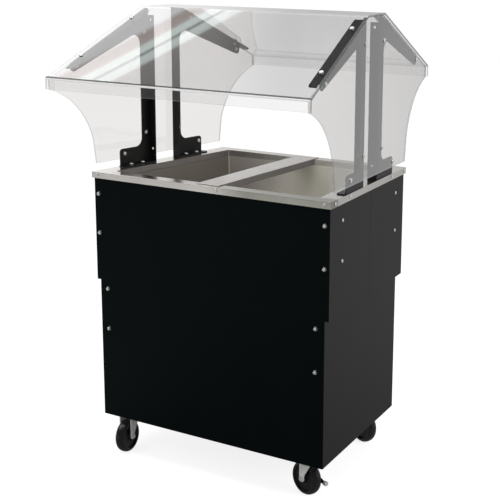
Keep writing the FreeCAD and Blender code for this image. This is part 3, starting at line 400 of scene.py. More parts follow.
STRIP_SHADE = (0.48, 0.49, 0.46)


def paint_front_strip_shade(material):
    """Darkens the front strip of the top towards its right end: painted shade for a dark reflection."""
    tree = material.node_tree
    shader = tree.nodes["Principled BSDF"]
    unshaded_tone = shader.inputs["Base Color"].links[0].from_socket
    place = tree.nodes.new("ShaderNodeTexCoord")
    axes = tree.nodes.new("ShaderNodeSeparateXYZ")
    tree.links.new(place.outputs["Object"], axes.inputs["Vector"])
    cloud = multiplied(tree, grain(tree, 8.0), 0.10)
    right = ramp(tree, added(tree, axes.outputs["X"], cloud), 0.02, 0.22)
    front = ramp(tree, added(tree, axes.outputs["Y"], multiplied(tree, cloud, 0.3)), -0.215, -0.235)
    mix = tree.nodes.new("ShaderNodeMix")
    mix.data_type = "RGBA"
    mix.blend_type = "MULTIPLY"
    mix.inputs[7].default_value = (*STRIP_SHADE, 1.0)
    tree.links.new(multiplied(tree, right, front), mix.inputs[0])
    tree.links.new(unshaded_tone, mix.inputs[6])
    tree.links.new(mix.outputs[2], shader.inputs["Base Color"])


EVEN = (1.0, 1.0, 1.0)
ALONG_X = (1.0, 60.0, 60.0)
ALONG_Y = (60.0, 1.0, 60.0)

stainless = metal(
    "brushed_stainless", (0.62, 0.595, 0.56), (0.80, 0.775, 0.74), (0.18, 0.28), 14.0, ALONG_X, 0.00003,
)
paint_front_strip_shade(stainless)
bar_steel = metal(
    "brushed_bar_steel", (0.66, 0.635, 0.61), (0.78, 0.755, 0.73), (0.24, 0.34), 14.0, ALONG_Y, 0.00003,
)
zinc = metal(
    "zinc_plate", (0.88, 0.87, 0.84), (0.97, 0.96, 0.93), (0.26, 0.40), 160.0, EVEN, 0.00005, bare=0.10,
)
bright_steel = metal(
    "bright_steel", (0.78, 0.77, 0.75), (0.94, 0.93, 0.91), (0.18, 0.30), 400.0, EVEN, 0.00002, bare=0.65,
)
dull_nickel = metal(
    "dull_nickel", (0.13, 0.125, 0.115), (0.24, 0.235, 0.22), (0.30, 0.45), 400.0, EVEN, 0.00002, bare=0.85,
)
brass = metal("cast_brass", (0.60, 0.42, 0.16), (0.78, 0.58, 0.26), (0.25, 0.42), 220.0, EVEN, 0.00008)
print("metals: stainless, bar, zinc, bright steel, nickel, brass")

# %% [markdown]
# In the photograph the well is duller than the top, paler and greener to the right, and paler where
# it faces the front.  Much of that may be what the sheet mirrors, which a small studio can't repeat,
# so the tone follows the place and the way each face points: the steel's own dull tone, with painted
# reflection and painted light put into it.  The turned-down lip and the sides of the divider bar lie
# in shade and get darker copies of the same finish, which are painted shade.

# %% Well steel with painted reflection and light


def painted_tone_steel(name, left, right, lit, rough):
    """Dull stainless, its tone changing from left to right and paler facing the front: painted light."""
    material, tree, shader = new_finish(name)
    place = tree.nodes.new("ShaderNodeTexCoord")
    axes = tree.nodes.new("ShaderNodeSeparateXYZ")
    tree.links.new(place.outputs["Object"], axes.inputs["Vector"])
    cloud = grain(tree, 7.0, (1.0, 1.0, 0.5), detail=3.0)
    spread = added(tree, axes.outputs["X"], multiplied(tree, cloud, 0.16))
    tree.links.new(ramp(tree, spread, -0.20, 0.12, 0.80, 0.30), shader.inputs["Metallic"])
    rightward = ramp(tree, spread, -0.22, 0.32)
    # Painted light: faces that point to the front take the paler lit colour.
    surface = tree.nodes.new("ShaderNodeNewGeometry")
    ahead = ramp(tree, facing_way(tree, surface.outputs["Normal"], (0.0, -1.0, 0.0)), 0.3, 0.9)
    both = tree.nodes.new("ShaderNodeMix")
    both.data_type = "RGBA"
    tree.links.new(ahead, both.inputs[0])
    tree.links.new(blend_colours(tree, rightward, left, right), both.inputs[6])
    tree.links.new(blend_colours(tree, rightward, lit, right), both.inputs[7])
    tree.links.new(both.outputs[2], shader.inputs["Base Color"])
    brush = grain(tree, 30.0, (1.0, 1.0, 12.0), detail=4.0)
    tree.links.new(between(tree, brush, rough[0], rough[1]), shader.inputs["Roughness"])
    emboss(tree, shader, brush, 0.00001)
    return material


liner_steel = painted_tone_steel(
    "well_steel_painted_tone", (0.27, 0.252, 0.24), (0.90, 0.89, 0.80), (0.92, 0.86, 0.81), (0.36, 0.46),
)
lip_steel = painted_tone_steel(
    "shaded_lip_steel", (0.29, 0.272, 0.28), (0.62, 0.61, 0.56), (0.50, 0.475, 0.45), (0.30, 0.42),
)
bar_side_steel = painted_tone_steel(
    "shaded_bar_side", (0.155, 0.145, 0.145), (0.165, 0.155, 0.155), (0.4, 0.4, 0.4), (0.30, 0.42),
)
print("dull steels: well, lip, sides of the bar")

# %% [markdown]
# ## Powder coat
#
# The front panel is almost black, while the side panels in the photograph are charcoal and a little
# more satin.  Powder coat has a fine orange-peel skin.  It could be a texture, but a noise in object
# coordinates needs no unwrapping and has the same grain on every panel.

# %% Powder-coated steel


def powder_coat(name, dark, light, rough, shine, peel=900.0):
    """Baked coat over steel: two close tones and a fine orange peel."""
    material, tree, shader = new_finish(name)
    shader.inputs["Specular IOR Level"].default_value = shine
    tree.links.new(blend_colours(tree, grain(tree, 6.0), dark, light), shader.inputs["Base Color"])
    skin = grain(tree, peel, detail=2.0)
    tree.links.new(between(tree, skin, rough[0], rough[1]), shader.inputs["Roughness"])
    emboss(tree, shader, skin, 0.00005)
    return material


front_coat = powder_coat(
    "front_black", (0.0014, 0.0036, 0.0041), (0.0022, 0.0050, 0.0054), (0.42, 0.55), 0.05,
)
side_coat = powder_coat(
    "charcoal_side", (0.0095, 0.0095, 0.0090), (0.0125, 0.0125, 0.0118), (0.40, 0.55), 0.20,
)
bracket_coat = powder_coat(
    "bracket_black", (0.0060, 0.0064, 0.0066), (0.0095, 0.010, 0.010), (0.34, 0.46), 0.28,
)
frame_coat = powder_coat("frame_black", (0.012, 0.012, 0.012), (0.020, 0.020, 0.019), (0.5, 0.65), 0.25)
lever_coat = powder_coat(
    "lever_red", (0.32, 0.018, 0.014), (0.42, 0.028, 0.02), (0.35, 0.5), 0.45, peel=300.0,
)
print("coats: front, sides, brackets, frame, lever")

# %% [markdown]
# ## Rubber and plastic
#
# Tyres and the drain pipe are moulded.  Rubber is dull, with dust in its skin, so its roughness is
# high and its colour wanders a little.

# %% Moulded pieces


def moulded(name, dark, light, rough, shine, pores=500.0):
    """Moulded rubber or plastic with a faint skin."""
    material, tree, shader = new_finish(name)
    shader.inputs["Specular IOR Level"].default_value = shine
    tree.links.new(blend_colours(tree, grain(tree, 60.0), dark, light), shader.inputs["Base Color"])
    skin = grain(tree, pores, detail=3.0)
    tree.links.new(between(tree, skin, rough[0], rough[1]), shader.inputs["Roughness"])
    emboss(tree, shader, skin, 0.0001)
    return material


tyre_rubber = moulded("tyre_rubber", (0.0065, 0.0065, 0.0062), (0.0100, 0.0100, 0.0095), (0.24, 0.34), 0.5)
wheel_core = moulded("wheel_core", (0.0050, 0.0050, 0.0050), (0.0080, 0.0080, 0.0080), (0.26, 0.38), 0.4)
pale_plastic = moulded("pale_plastic", (0.52, 0.51, 0.48), (0.62, 0.61, 0.58), (0.35, 0.5), 0.5)
print("moulded finishes: tyre, wheel core, pale plastic")

# %% [markdown]
# ## Clear acrylic
#
# A glass shader bends light, so lamps would no longer reach the well, and a thin sheet hardly bends
# what is behind it.  The sheet is made as what it does: it lets a little tinted light straight
# through and mirrors more of the room the flatter it is seen.  Only the side that faces the ray
# mirrors, so that a sheet with two faces isn't counted twice.  The front slope of the roof gets a
# darker tint than the rest, because the photograph shows it greyer than one clear sheet would be;
# that grey is painted reflection.

# %% Clear sheet


def clear_sheet(name, dim, clear, mirror):
    """Sheet that passes tinted light and mirrors by its angle, with faint streaks of painted reflection."""
    material, tree, shader = new_finish(name)
    tree.nodes.remove(shader)
    # Painted reflection: faint streaks in the tint stand in for streaks of mirrored light.
    streaks = grain(tree, 5.0, (1.0, 0.25, 1.6), detail=2.0)
    passing = tree.nodes.new("ShaderNodeBsdfTransparent")
    tree.links.new(blend_colours(tree, streaks, dim, clear), passing.inputs["Color"])
    gloss = tree.nodes.new("ShaderNodeBsdfGlossy")
    gloss.inputs["Roughness"].default_value = 0.015
    slant = tree.nodes.new("ShaderNodeFresnel")
    slant.inputs["IOR"].default_value = 1.49
    facing = tree.nodes.new("ShaderNodeNewGeometry")
    front_only = arithmetic(tree, "SUBTRACT", 1.0, facing.outputs["Backfacing"])
    share = arithmetic(tree, "MULTIPLY", arithmetic(tree, "MULTIPLY", slant.outputs[0], mirror), front_only)
    mix = tree.nodes.new("ShaderNodeMixShader")
    tree.links.new(share, mix.inputs[0])
    tree.links.new(passing.outputs[0], mix.inputs[1])
    tree.links.new(gloss.outputs[0], mix.inputs[2])
    tree.links.new(mix.outputs[0], tree.nodes["Material Output"].inputs["Surface"])
    return material


acrylic = clear_sheet("clear_acrylic", (0.945, 0.942, 0.942), (0.975, 0.972, 0.972), 1.8)
# Painted reflection: the front slope's darker tint stands in for the grey it mirrors.
painted_veil_acrylic = clear_sheet("painted_veil_acrylic", (0.845, 0.842, 0.845), (0.905, 0.902, 0.902), 1.8)
end_acrylic = clear_sheet("end_acrylic", (0.93, 0.92, 0.915), (0.965, 0.955, 0.95), 3.4)
# Painted shade: the two tints below darken the upper side of the front bend and the rear bends.
painted_shade_bend = clear_sheet("painted_shade_of_bend", (0.10, 0.10, 0.105), (0.16, 0.16, 0.165), 1.0)
painted_shade_rear_bend = clear_sheet("painted_shade_rear_bend", (0.80, 0.80, 0.80), (0.88, 0.88, 0.88), 2.0)
print("clear sheets: roof, hazy front slope, ends, dark bend, rear bend")

# %% [markdown]
# A cut edge is partly solid: it scatters light and lets some through.  A plain colour would read as
# paint, so a colour that wanders is mixed with a see-through shader by a fixed share.

# %% Cut edge of clear sheet


def cut_edge(name, dark, light, solid):
    """Sawn edge or bend: a colour and a see-through part, mixed by a share."""
    material, tree, shader = new_finish(name)
    tree.links.new(blend_colours(tree, grain(tree, 30.0), dark, light), shader.inputs["Base Color"])
    shader.inputs["Roughness"].default_value = 0.2
    passing = tree.nodes.new("ShaderNodeBsdfTransparent")
    mix = tree.nodes.new("ShaderNodeMixShader")
    mix.inputs[0].default_value = solid
    tree.links.new(passing.outputs[0], mix.inputs[1])
    tree.links.new(shader.outputs[0], mix.inputs[2])
    tree.links.new(mix.outputs[0], tree.nodes["Material Output"].inputs["Surface"])
    return material


# %% [markdown]
# A sawn edge gathers light from the whole sheet.  In the photograph the left edges are pale, the
# roof's right edge is dark, and the front bend has a dark line with a white one under it.  The dark
# edge and the dark line are painted shade, and the white line is a painted highlight.

# %% Finishes of the cut edges
acrylic_edge = cut_edge("acrylic_edge", (0.42, 0.44, 0.445), (0.62, 0.64, 0.645), 0.45)
# Painted highlight: the white side of the front bend; the shaded edge below is painted shade.
painted_highlight_bend = cut_edge("painted_highlight_of_bend", (0.93, 0.93, 0.93), (0.98, 0.98, 0.98), 0.92)
shaded_edge = cut_edge("shaded_edge", (0.03, 0.035, 0.036), (0.10, 0.105, 0.107), 0.80)
print("cut edges: sawn, bright bend, shaded")

# %% [markdown]
# ## Sheet-metal pieces with eased edges
#
# Folded and sawn sheet never has a knife edge: a thin line of light runs along every real corner.
# The CAD mesh is loose triangles, so a Bevel modifier on it would do nothing useful.  A copy is
# welded, its flat faces are joined, and only the long edges are bevelled, because a bevel round a
# small hole would be hidden by its screw.

# %% Helpers for welded copies

WELD = 0.00001
LONG_EDGE = 0.0011
SHARP = math.radians(32.0)


def welded(solid):
    """The triangles of a solid as one skin, with flat faces joined."""
    source = solids[solid].data
    loose = bpy.data.meshes.new("loose")
    loose.from_pydata([v.co for v in source.vertices], [], [tuple(p.vertices) for p in source.polygons])
    skin = bmesh.new()
    skin.from_mesh(loose)
    bpy.data.meshes.remove(loose)
    bmesh.ops.remove_doubles(skin, verts=skin.verts, dist=WELD)
    bmesh.ops.dissolve_limit(skin, angle_limit=math.radians(0.2), verts=skin.verts, edges=skin.edges)
    return skin


def as_piece(skin, name, finishes):
    """An object at the origin from a skin."""
    mesh = bpy.data.meshes.new(name)
    skin.to_mesh(mesh)
    skin.free()
    for finish in finishes:
        mesh.materials.append(finish)
    piece = bpy.data.objects.new(name, mesh)
    bpy.context.scene.collection.objects.link(piece)
    return piece


def ease(skin, name, finishes, width):
    """A piece whose long sharp edges are rounded by a width."""
    weights = skin.edges.layers.float.new("bevel_weight_edge")
    for face in skin.faces:
        face.smooth = True
    for edge in skin.edges:
        if len(edge.link_faces) == 2 and edge.calc_face_angle() > SHARP:
            if edge.calc_length() > LONG_EDGE:
                edge[weights] = 1.0
            else:
                edge.smooth = False
    piece = as_piece(skin, name, finishes)
    bevel = piece.modifiers.new("eased_edges", "BEVEL")
    bevel.limit_method = "WEIGHT"
    bevel.width = width
    bevel.segments = 2
    flat = piece.modifiers.new("flat_faces", "WEIGHTED_NORMAL")
    flat.keep_sharp = True
    return piece


def stand_in(piece, solid):
    """Lets a piece ride with its solid's body, in place of the solid."""
    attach(piece, solids[solid]["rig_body"])
    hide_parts(solid)


def eased_copies(solid_names, finish, width):
    """Eased copies of several solids in one finish."""
    for solid in solid_names:
        stand_in(ease(welded(solid), "eased_" + solid, [finish], width), solid)
    print("eased:", len(solid_names), "in", finish.name)


SIDE_NAMES = ("left", "right")
CORNERS = ("front_left", "front_right", "rear_left", "rear_right")

# %% [markdown]
# Each sheet-metal solid now gets its eased copy, and so do the pieces of the drain.  The lip inside
# the top frame and the sides of the divider bar are picked by the way they face, because only those
# faces take the darker finish, which is painted shade.

# %% Stainless top, well and divider bar


def faces_opening(face):
    """True for the turned-down lip inside the top frame."""
    middle = face.calc_center_median()
    inside = abs(middle.x) < OPENING_REACH[0] and abs(middle.y) < OPENING_REACH[1]
    return inside and abs(face.normal.z) < 0.5 and face.normal.x * middle.x + face.normal.y * middle.y < 0


def faces_sideways(face):
    """True for the long sides of the divider bar."""
    return abs(face.normal.x) > 0.7


def shaded_copy(solid, finish, shade, is_shaded):
    """Eased copy of a sheet piece, with a darker finish of painted shade on its shaded faces."""
    skin = welded(solid)
    for face in skin.faces:
        face.material_index = int(is_shaded(face))
    stand_in(ease(skin, "eased_" + solid, [finish, shade], 0.0005), solid)
    print("eased:", solid, "in", finish.name, "and", shade.name)


OPENING_REACH = (0.345, 0.262)
shaded_copy("top_frame", stainless, lip_steel, faces_opening)
shaded_copy("divider_bar", bar_steel, bar_side_steel, faces_sideways)
eased_copies(["well_liner"], liner_steel, 0.0008)

# %% Cabinet panels and frame
eased_copies(["front_panel"], front_coat, 0.0006)
eased_copies(["side_skirt_" + corner for corner in CORNERS], side_coat, 0.0006)
eased_copies(["lower_side_" + side for side in SIDE_NAMES], side_coat, 0.0006)
eased_copies(["rear_apron"], front_coat, 0.0006)
eased_copies(["corner_post_" + corner for corner in CORNERS], frame_coat, 0.0006)
eased_copies(["side_uprights", "casing_floor", "bottom_shelf"], frame_coat, 0.0006)

# %% Brackets of the food shield
eased_copies(["bracket_" + corner for corner in CORNERS], bracket_coat, 0.0007)

# %% Drain under the well
eased_copies(["drain_strainer"], bright_steel, 0.0003)
eased_copies(["drain_pipe"], pale_plastic, 0.0005)
eased_copies(["drain_valve"], brass, 0.0010)
eased_copies(["drain_lever"], lever_coat, 0.0008)

# %% [markdown]
# ## Food shield
#
# The roof is one sheet bent into five facets, and each end is a flat sheet with hollow curved edges.
# Their sawn edges look quite different from their faces, and so do the bends, where the sheet was
# heated; the dark and bright lines of the bends are painted shade and a painted highlight.  Each
# welded copy gets its materials face by face, by the way a face points and its place.

# %% Clear pieces

ROOF_LEAN = 25.6
BEND_SPLIT = 60.0
FACET_PLAY = 1.5
PLAN_LEAN = 7.5
LIP_TOP = 1.13
RIDGE_FROM = 1.2


def side_way(side):
    """Outward direction of a slanted side of the plan."""
    lean = math.radians(PLAN_LEAN)
    return Vector((math.cos(lean) * (1 if side == "right" else -1), math.sin(lean), 0.0))


def clear_roof():
    """Bent roof: clear facets, a front slope greyed as painted reflection, bends with a side of painted
    shade and a side of painted highlight, sawn edges.
    """
    skin = welded("roof_sheet")
    facets = [0.0, ROOF_LEAN, 90.0]
    for face in skin.faces:
        tilt = math.degrees(math.atan2(abs(face.normal.y), abs(face.normal.z)))
        middle = face.calc_center_median()
        if face.normal.x > 0.5:
            face.material_index = 5
        elif face.normal.x < -0.5 or (face.normal.z < -0.9 and middle.z < LIP_TOP):
            face.material_index = 4
        elif min(abs(tilt - facet) for facet in facets) > FACET_PLAY:
            if middle.y > 0 or middle.z > RIDGE_FROM:
                face.material_index = 3
            elif face.normal.z > 0:
                face.material_index = 1 if tilt < BEND_SPLIT else 2
        elif abs(tilt - ROOF_LEAN) < FACET_PLAY and middle.y < 0:
            face.material_index = 6
    finishes = [acrylic, painted_shade_bend, painted_highlight_bend, painted_shade_rear_bend, acrylic_edge, shaded_edge, painted_veil_acrylic]
    stand_in(ease(skin, "clear_roof", finishes, 0.0004), "roof_sheet")


def clear_end(side):
    """End panel: clear faces and pale sawn edges."""
    skin = welded("end_panel_" + side)
    for face in skin.faces:
        if abs(face.normal.dot(side_way(side))) < 0.7:
            face.material_index = 1
    piece = ease(skin, "clear_end_" + side, [end_acrylic, acrylic_edge], 0.0004)
    stand_in(piece, "end_panel_" + side)


clear_roof()
for side in SIDE_NAMES:
    clear_end(side)
print("clear pieces: 3")

# %% [markdown]
# ## Screws and bolts
#
# Dozens of fasteners hold the bar together.  Each kind of screw is modelled once, with its recess,
# and a Geometry Nodes tree sets a copy on every seat.  A loop of copied objects would do it too, but in a
# tree the size, the seed of the turns and the finish are inputs that can be changed afterwards.

# %% Find the seats in the solids


def loose_solids(solid):
    """The points of each separate solid in a group, in a fixed order."""
    skin = welded(solid)
    left = set(skin.verts)
    groups = []
    while left:
        queue = [left.pop()]
        found = list(queue)
        while queue:
            here = queue.pop()
            for edge in here.link_edges:
                there = edge.other_vert(here)
                if there in left:
                    left.remove(there)
                    queue.append(there)
                    found.append(there)
        groups.append(np.array([vert.co[:] for vert in found]))
    skin.free()
    return sorted(groups, key=lambda points: tuple(np.round(points.mean(0), 4)))


def seat_of(points, wide_end_out=True):
    """Seat, direction, radius, head height and shank length of one turned solid."""
    middle = points.mean(0)
    spread, ways = np.linalg.eigh(np.cov((points - middle).T))
    gaps = [abs(spread[1] - spread[2]), abs(spread[0] - spread[2]), abs(spread[0] - spread[1])]
    way = ways[:, int(np.argmin(gaps))]
    along = (points - middle) @ way
    reach = np.linalg.norm((points - middle) - np.outer(along, way), axis=1)
    rim = along[reach > reach.max() * 0.995]
    at_top = rim.mean() > (along.max() + along.min()) / 2
    if at_top != wide_end_out:
        way, along, rim = -way, -along, -rim
    low = rim.min()
    return middle + way * low, way, float(reach.max()), float(along.max() - low), float(low - along.min())


# %% [markdown]
# The tree reads each seat's direction from an attribute, turns a fastener to it, and spins it about
# its own axis by a random angle from the seed.  Its last two nodes make real faces and give them the
# finish, because copies that are only instances would be lost in the exported model.

# %% The tree that sets fasteners on their seats


def fastener_tree():
    """Geometry Nodes tree: one head on each seat, turned by chance about its axis."""
    tree = bpy.data.node_groups.new("fasteners_on_seats", "GeometryNodeTree")
    for name, kind in (
        ("Seats", "NodeSocketGeometry"), ("Fastener", "NodeSocketObject"), ("Size", "NodeSocketFloat"),
        ("Seed", "NodeSocketInt"), ("Finish", "NodeSocketMaterial"),
    ):
        tree.interface.new_socket(name, in_out="INPUT", socket_type=kind)
    tree.interface.new_socket("Fasteners", in_out="OUTPUT", socket_type="NodeSocketGeometry")
    given = tree.nodes.new("NodeGroupInput")
    result = tree.nodes.new("NodeGroupOutput")
    info = tree.nodes.new("GeometryNodeObjectInfo")
    way = tree.nodes.new("GeometryNodeInputNamedAttribute")
    way.data_type = "FLOAT_VECTOR"
    way.inputs["Name"].default_value = "way"
    align = tree.nodes.new("FunctionNodeAlignRotationToVector")
    align.axis = "Z"
    chance = tree.nodes.new("FunctionNodeRandomValue")
    chance.data_type = "FLOAT"
    chance.inputs[3].default_value = 2 * math.pi
    spin = tree.nodes.new("FunctionNodeAxisAngleToRotation")
    spin.inputs["Axis"].default_value = (0.0, 0.0, 1.0)
    turned_way = tree.nodes.new("FunctionNodeRotateRotation")
    turned_way.rotation_space = "LOCAL"
    setting = tree.nodes.new("GeometryNodeInstanceOnPoints")
    real = tree.nodes.new("GeometryNodeRealizeInstances")
    coat = tree.nodes.new("GeometryNodeSetMaterial")
    link = tree.links.new
    link(given.outputs["Seats"], setting.inputs["Points"])
    link(given.outputs["Fastener"], info.inputs["Object"])
    link(info.outputs["Geometry"], setting.inputs["Instance"])
    link(way.outputs["Attribute"], align.inputs["Vector"])
    link(given.outputs["Seed"], chance.inputs["Seed"])
    link(chance.outputs[1], spin.inputs["Angle"])
    link(align.outputs["Rotation"], turned_way.inputs["Rotation"])
    link(spin.outputs["Rotation"], turned_way.inputs["Rotate By"])
    link(turned_way.outputs["Rotation"], setting.inputs["Rotation"])
    link(given.outputs["Size"], setting.inputs["Scale"])
    link(setting.outputs["Instances"], real.inputs["Geometry"])
    link(real.outputs["Geometry"], coat.inputs["Geometry"])
    link(given.outputs["Finish"], coat.inputs["Material"])
    link(coat.outputs["Geometry"], result.inputs["Fasteners"])
    return tree


on_seats = fastener_tree()
print("tree:", on_seats.name, "with", len(on_seats.nodes), "nodes")


def run_tree(name, mesh, tree, given):
    """Runs a tree on a mesh and keeps the result as a plain mesh."""
    carrier = bpy.data.objects.new(name + "_carrier", mesh)
    bpy.context.scene.collection.objects.link(carrier)
    modifier = carrier.modifiers.new("tree", "NODES")
    modifier.node_group = tree
    for item in tree.interface.items_tree:
        if item.in_out == "INPUT" and item.name in given:
            modifier[item.identifier] = given[item.name]
    made = bpy.data.meshes.new_from_object(carrier.evaluated_get(bpy.context.evaluated_depsgraph_get()))
    made.name = name
    bpy.data.objects.remove(carrier)
    return made


def set_on_seats(name, seats, fastener, seed, finish):
    """Runs the tree on a list of seats and keeps the result as a plain mesh."""
    mesh = bpy.data.meshes.new(name + "_seats")
    mesh.from_pydata([seat[0] for seat in seats], [], [])
    ways = mesh.attributes.new("way", "FLOAT_VECTOR", "POINT")
    ways.data.foreach_set("vector", np.array([seat[1] for seat in seats], np.float32).ravel())
    given = {"Fastener": fastener, "Size": 1.0, "Seed": seed, "Finish": finish}
    made = run_tree(name, mesh, on_seats, given)
    piece = bpy.data.objects.new(name, made)
    bpy.context.scene.collection.objects.link(piece)
    return piece


# %% [markdown]
# A screw head is a solid of revolution except for its recess.  It is built from rings of points:
# the outer rings are round, and the inner ones take the outline of a cross, pressed down.

# %% Screw with a cross recess

RING = 24


def ring_points(skin, radius, height, cross=None):
    """One ring of points, round or in the outline of a cross of an arm and a half slot."""
    points = []
    for step in range(RING):
        angle = 2 * math.pi * step / RING
        reach = radius
        if cross:
            lean = (angle + math.pi / 4) % (math.pi / 2) - math.pi / 4
            reach = min(cross[0] / math.cos(lean), cross[1] / max(abs(math.sin(lean)), 1e-6))
        points.append(skin.verts.new((reach * math.cos(angle), reach * math.sin(angle), height)))
    return points


def close_rings(skin, rings):
    """Joins rings in order and closes both ends."""
    for low, high in zip(rings, rings[1:]):
        for step in range(RING):
            after = (step + 1) % RING
            skin.faces.new((low[step], low[after], high[after], high[step]))
    for ring, flip in ((rings[0], True), (rings[-1], False)):
        middle = skin.verts.new(sum((vert.co for vert in ring), Vector()) / RING)
        for step in range(RING):
            pair = (ring[step], ring[(step + 1) % RING])
            skin.faces.new((pair[1], pair[0], middle) if flip else (pair[0], pair[1], middle))
    for face in skin.faces:
        face.smooth = True
    bmesh.ops.recalc_face_normals(skin, faces=skin.faces)


def pan_screw(name, radius, height, shank, length):
    """Pan-head screw with a cross recess, its seat at the origin."""
    skin = bmesh.new()
    rings = [
        ring_points(skin, shank * 0.6, -length), ring_points(skin, shank, -length + shank * 0.5),
        ring_points(skin, shank, 0.0), ring_points(skin, radius * 0.97, 0.0),
        ring_points(skin, radius, height * 0.12), ring_points(skin, radius * 0.97, height * 0.48),
        ring_points(skin, radius * 0.86, height * 0.78), ring_points(skin, radius * 0.66, height * 0.95),
        ring_points(skin, radius * 0.52, height),
        ring_points(skin, 0, height, (radius * 0.44, radius * 0.12)),
        ring_points(skin, 0, height * 0.5, (radius * 0.36, radius * 0.09)),
    ]
    close_rings(skin, rings)
    return as_piece(skin, name, [bright_steel])


def fasten(solid, finish, seed):
    """Replaces a group of solids by pan-head screws or bolts of the same size."""
    seats = [seat_of(points) for points in loose_solids(solid)]
    _, _, radius, height, length = seats[0]
    shank = SHANKS[solid] / 2
    model = pan_screw("one_of_" + solid, radius, height, shank, length)
    piece = set_on_seats("heads_of_" + solid, seats, model, seed, finish)
    bpy.data.objects.remove(model)
    stand_in(piece, solid)
    print(solid, "count:", len(seats), "head:", round(2000 * radius, 2), "x", round(1000 * height, 2), "mm")


SHANKS = {
    "roof_bolts": 0.006, "end_panel_bolts": 0.006, "foot_bolts": 0.006,
    "rim_screws": 0.004, "skirt_screws": 0.004, "panel_screws": 0.004,
}
for seed, solid in enumerate(SHANKS):
    fasten(solid, bright_steel, seed)

# %% [markdown]
# A panel screw sits in a dished washer, which spreads its load over the thin sheet.  A flat disc
# would do from far away, but the dish catches a bright ring of light.  The copies are smaller than
# their solids by a share, because the washers look smaller in the photograph.

# %% Cup washers and nuts

WASHER_BORE = 0.0023
WASHER_SHARE = 0.76


def cup_washer(name, radius, height):
    """Dished washer that a panel screw sits in."""
    bore = WASHER_BORE
    outline = [
        (bore, 0.0), (radius, 0.0), (radius, height * 0.16), (radius * 0.9, height * 0.5),
        (radius * 0.72, height * 0.86), (radius * 0.6, height), (radius * 0.52, height * 0.96),
        (radius * 0.44, height * 0.7), (bore, height * 0.62),
    ]
    skin = bmesh.new()
    rings = [ring_points(skin, reach, rise) for reach, rise in outline]
    for low, high in zip(rings, rings[1:] + rings[:1]):
        for step in range(RING):
            after = (step + 1) % RING
            skin.faces.new((low[step], low[after], high[after], high[step]))
    for face in skin.faces:
        face.smooth = True
    bmesh.ops.recalc_face_normals(skin, faces=skin.faces)
    return as_piece(skin, name, [bright_steel])


washer_seats = [seat_of(points, wide_end_out=False) for points in loose_solids("panel_cup_washers")]
washer_model = cup_washer("one_cup_washer", washer_seats[0][2] * WASHER_SHARE, washer_seats[0][3])
washers = set_on_seats("cup_washers", washer_seats, washer_model, 7, dull_nickel)
bpy.data.objects.remove(washer_model)
stand_in(washers, "panel_cup_washers")
eased_copies(["roof_nuts", "end_panel_nuts", "caster_bolts"], bright_steel, 0.0004)
print("cup washers:", len(washer_seats))

# %% [markdown]
# ## Casters
#
# Each caster has a plate with a raceway, a pressed fork, a wheel and an axle bolt.  The wheel is a
# solid of revolution: a plastic core with a hub, and a rubber tyre with a doughnut tread.  A torus
# would be too round, so its outline is written down as radius and height, and a Geometry Nodes tree
# sweeps it round a circle.  The outline carries a mark that says which part of it is tyre.

# %% Turned wheels

WHEEL_STEPS = 96
TYRE_FROM = 10
WHEEL_OUTLINE = [
    (4.05, 17.7), (9.0, 17.7), (9.6, 17.2), (12.4, 17.0), (13.0, 16.2), (13.0, 10.4), (14.2, 9.2),
    (33.4, 8.6), (35.6, 9.6), (36.6, 12.2), (37.2, 14.0), (38.4, 15.0), (40.2, 15.0), (42.4, 14.6),
    (45.0, 13.4), (47.4, 11.2), (49.2, 8.2), (50.2, 4.6), (50.5, 1.4),
]


def wheel_place(solid):
    """Middle of a wheel and the direction of its axle."""
    points = np.array([vert.co[:] for vert in solids[solid].data.vertices])
    middle = Vector((points.max(0) + points.min(0)) / 2)
    _, ways = np.linalg.eigh(np.cov((points - points.mean(0)).T))
    return middle, Vector(ways[:, 0])


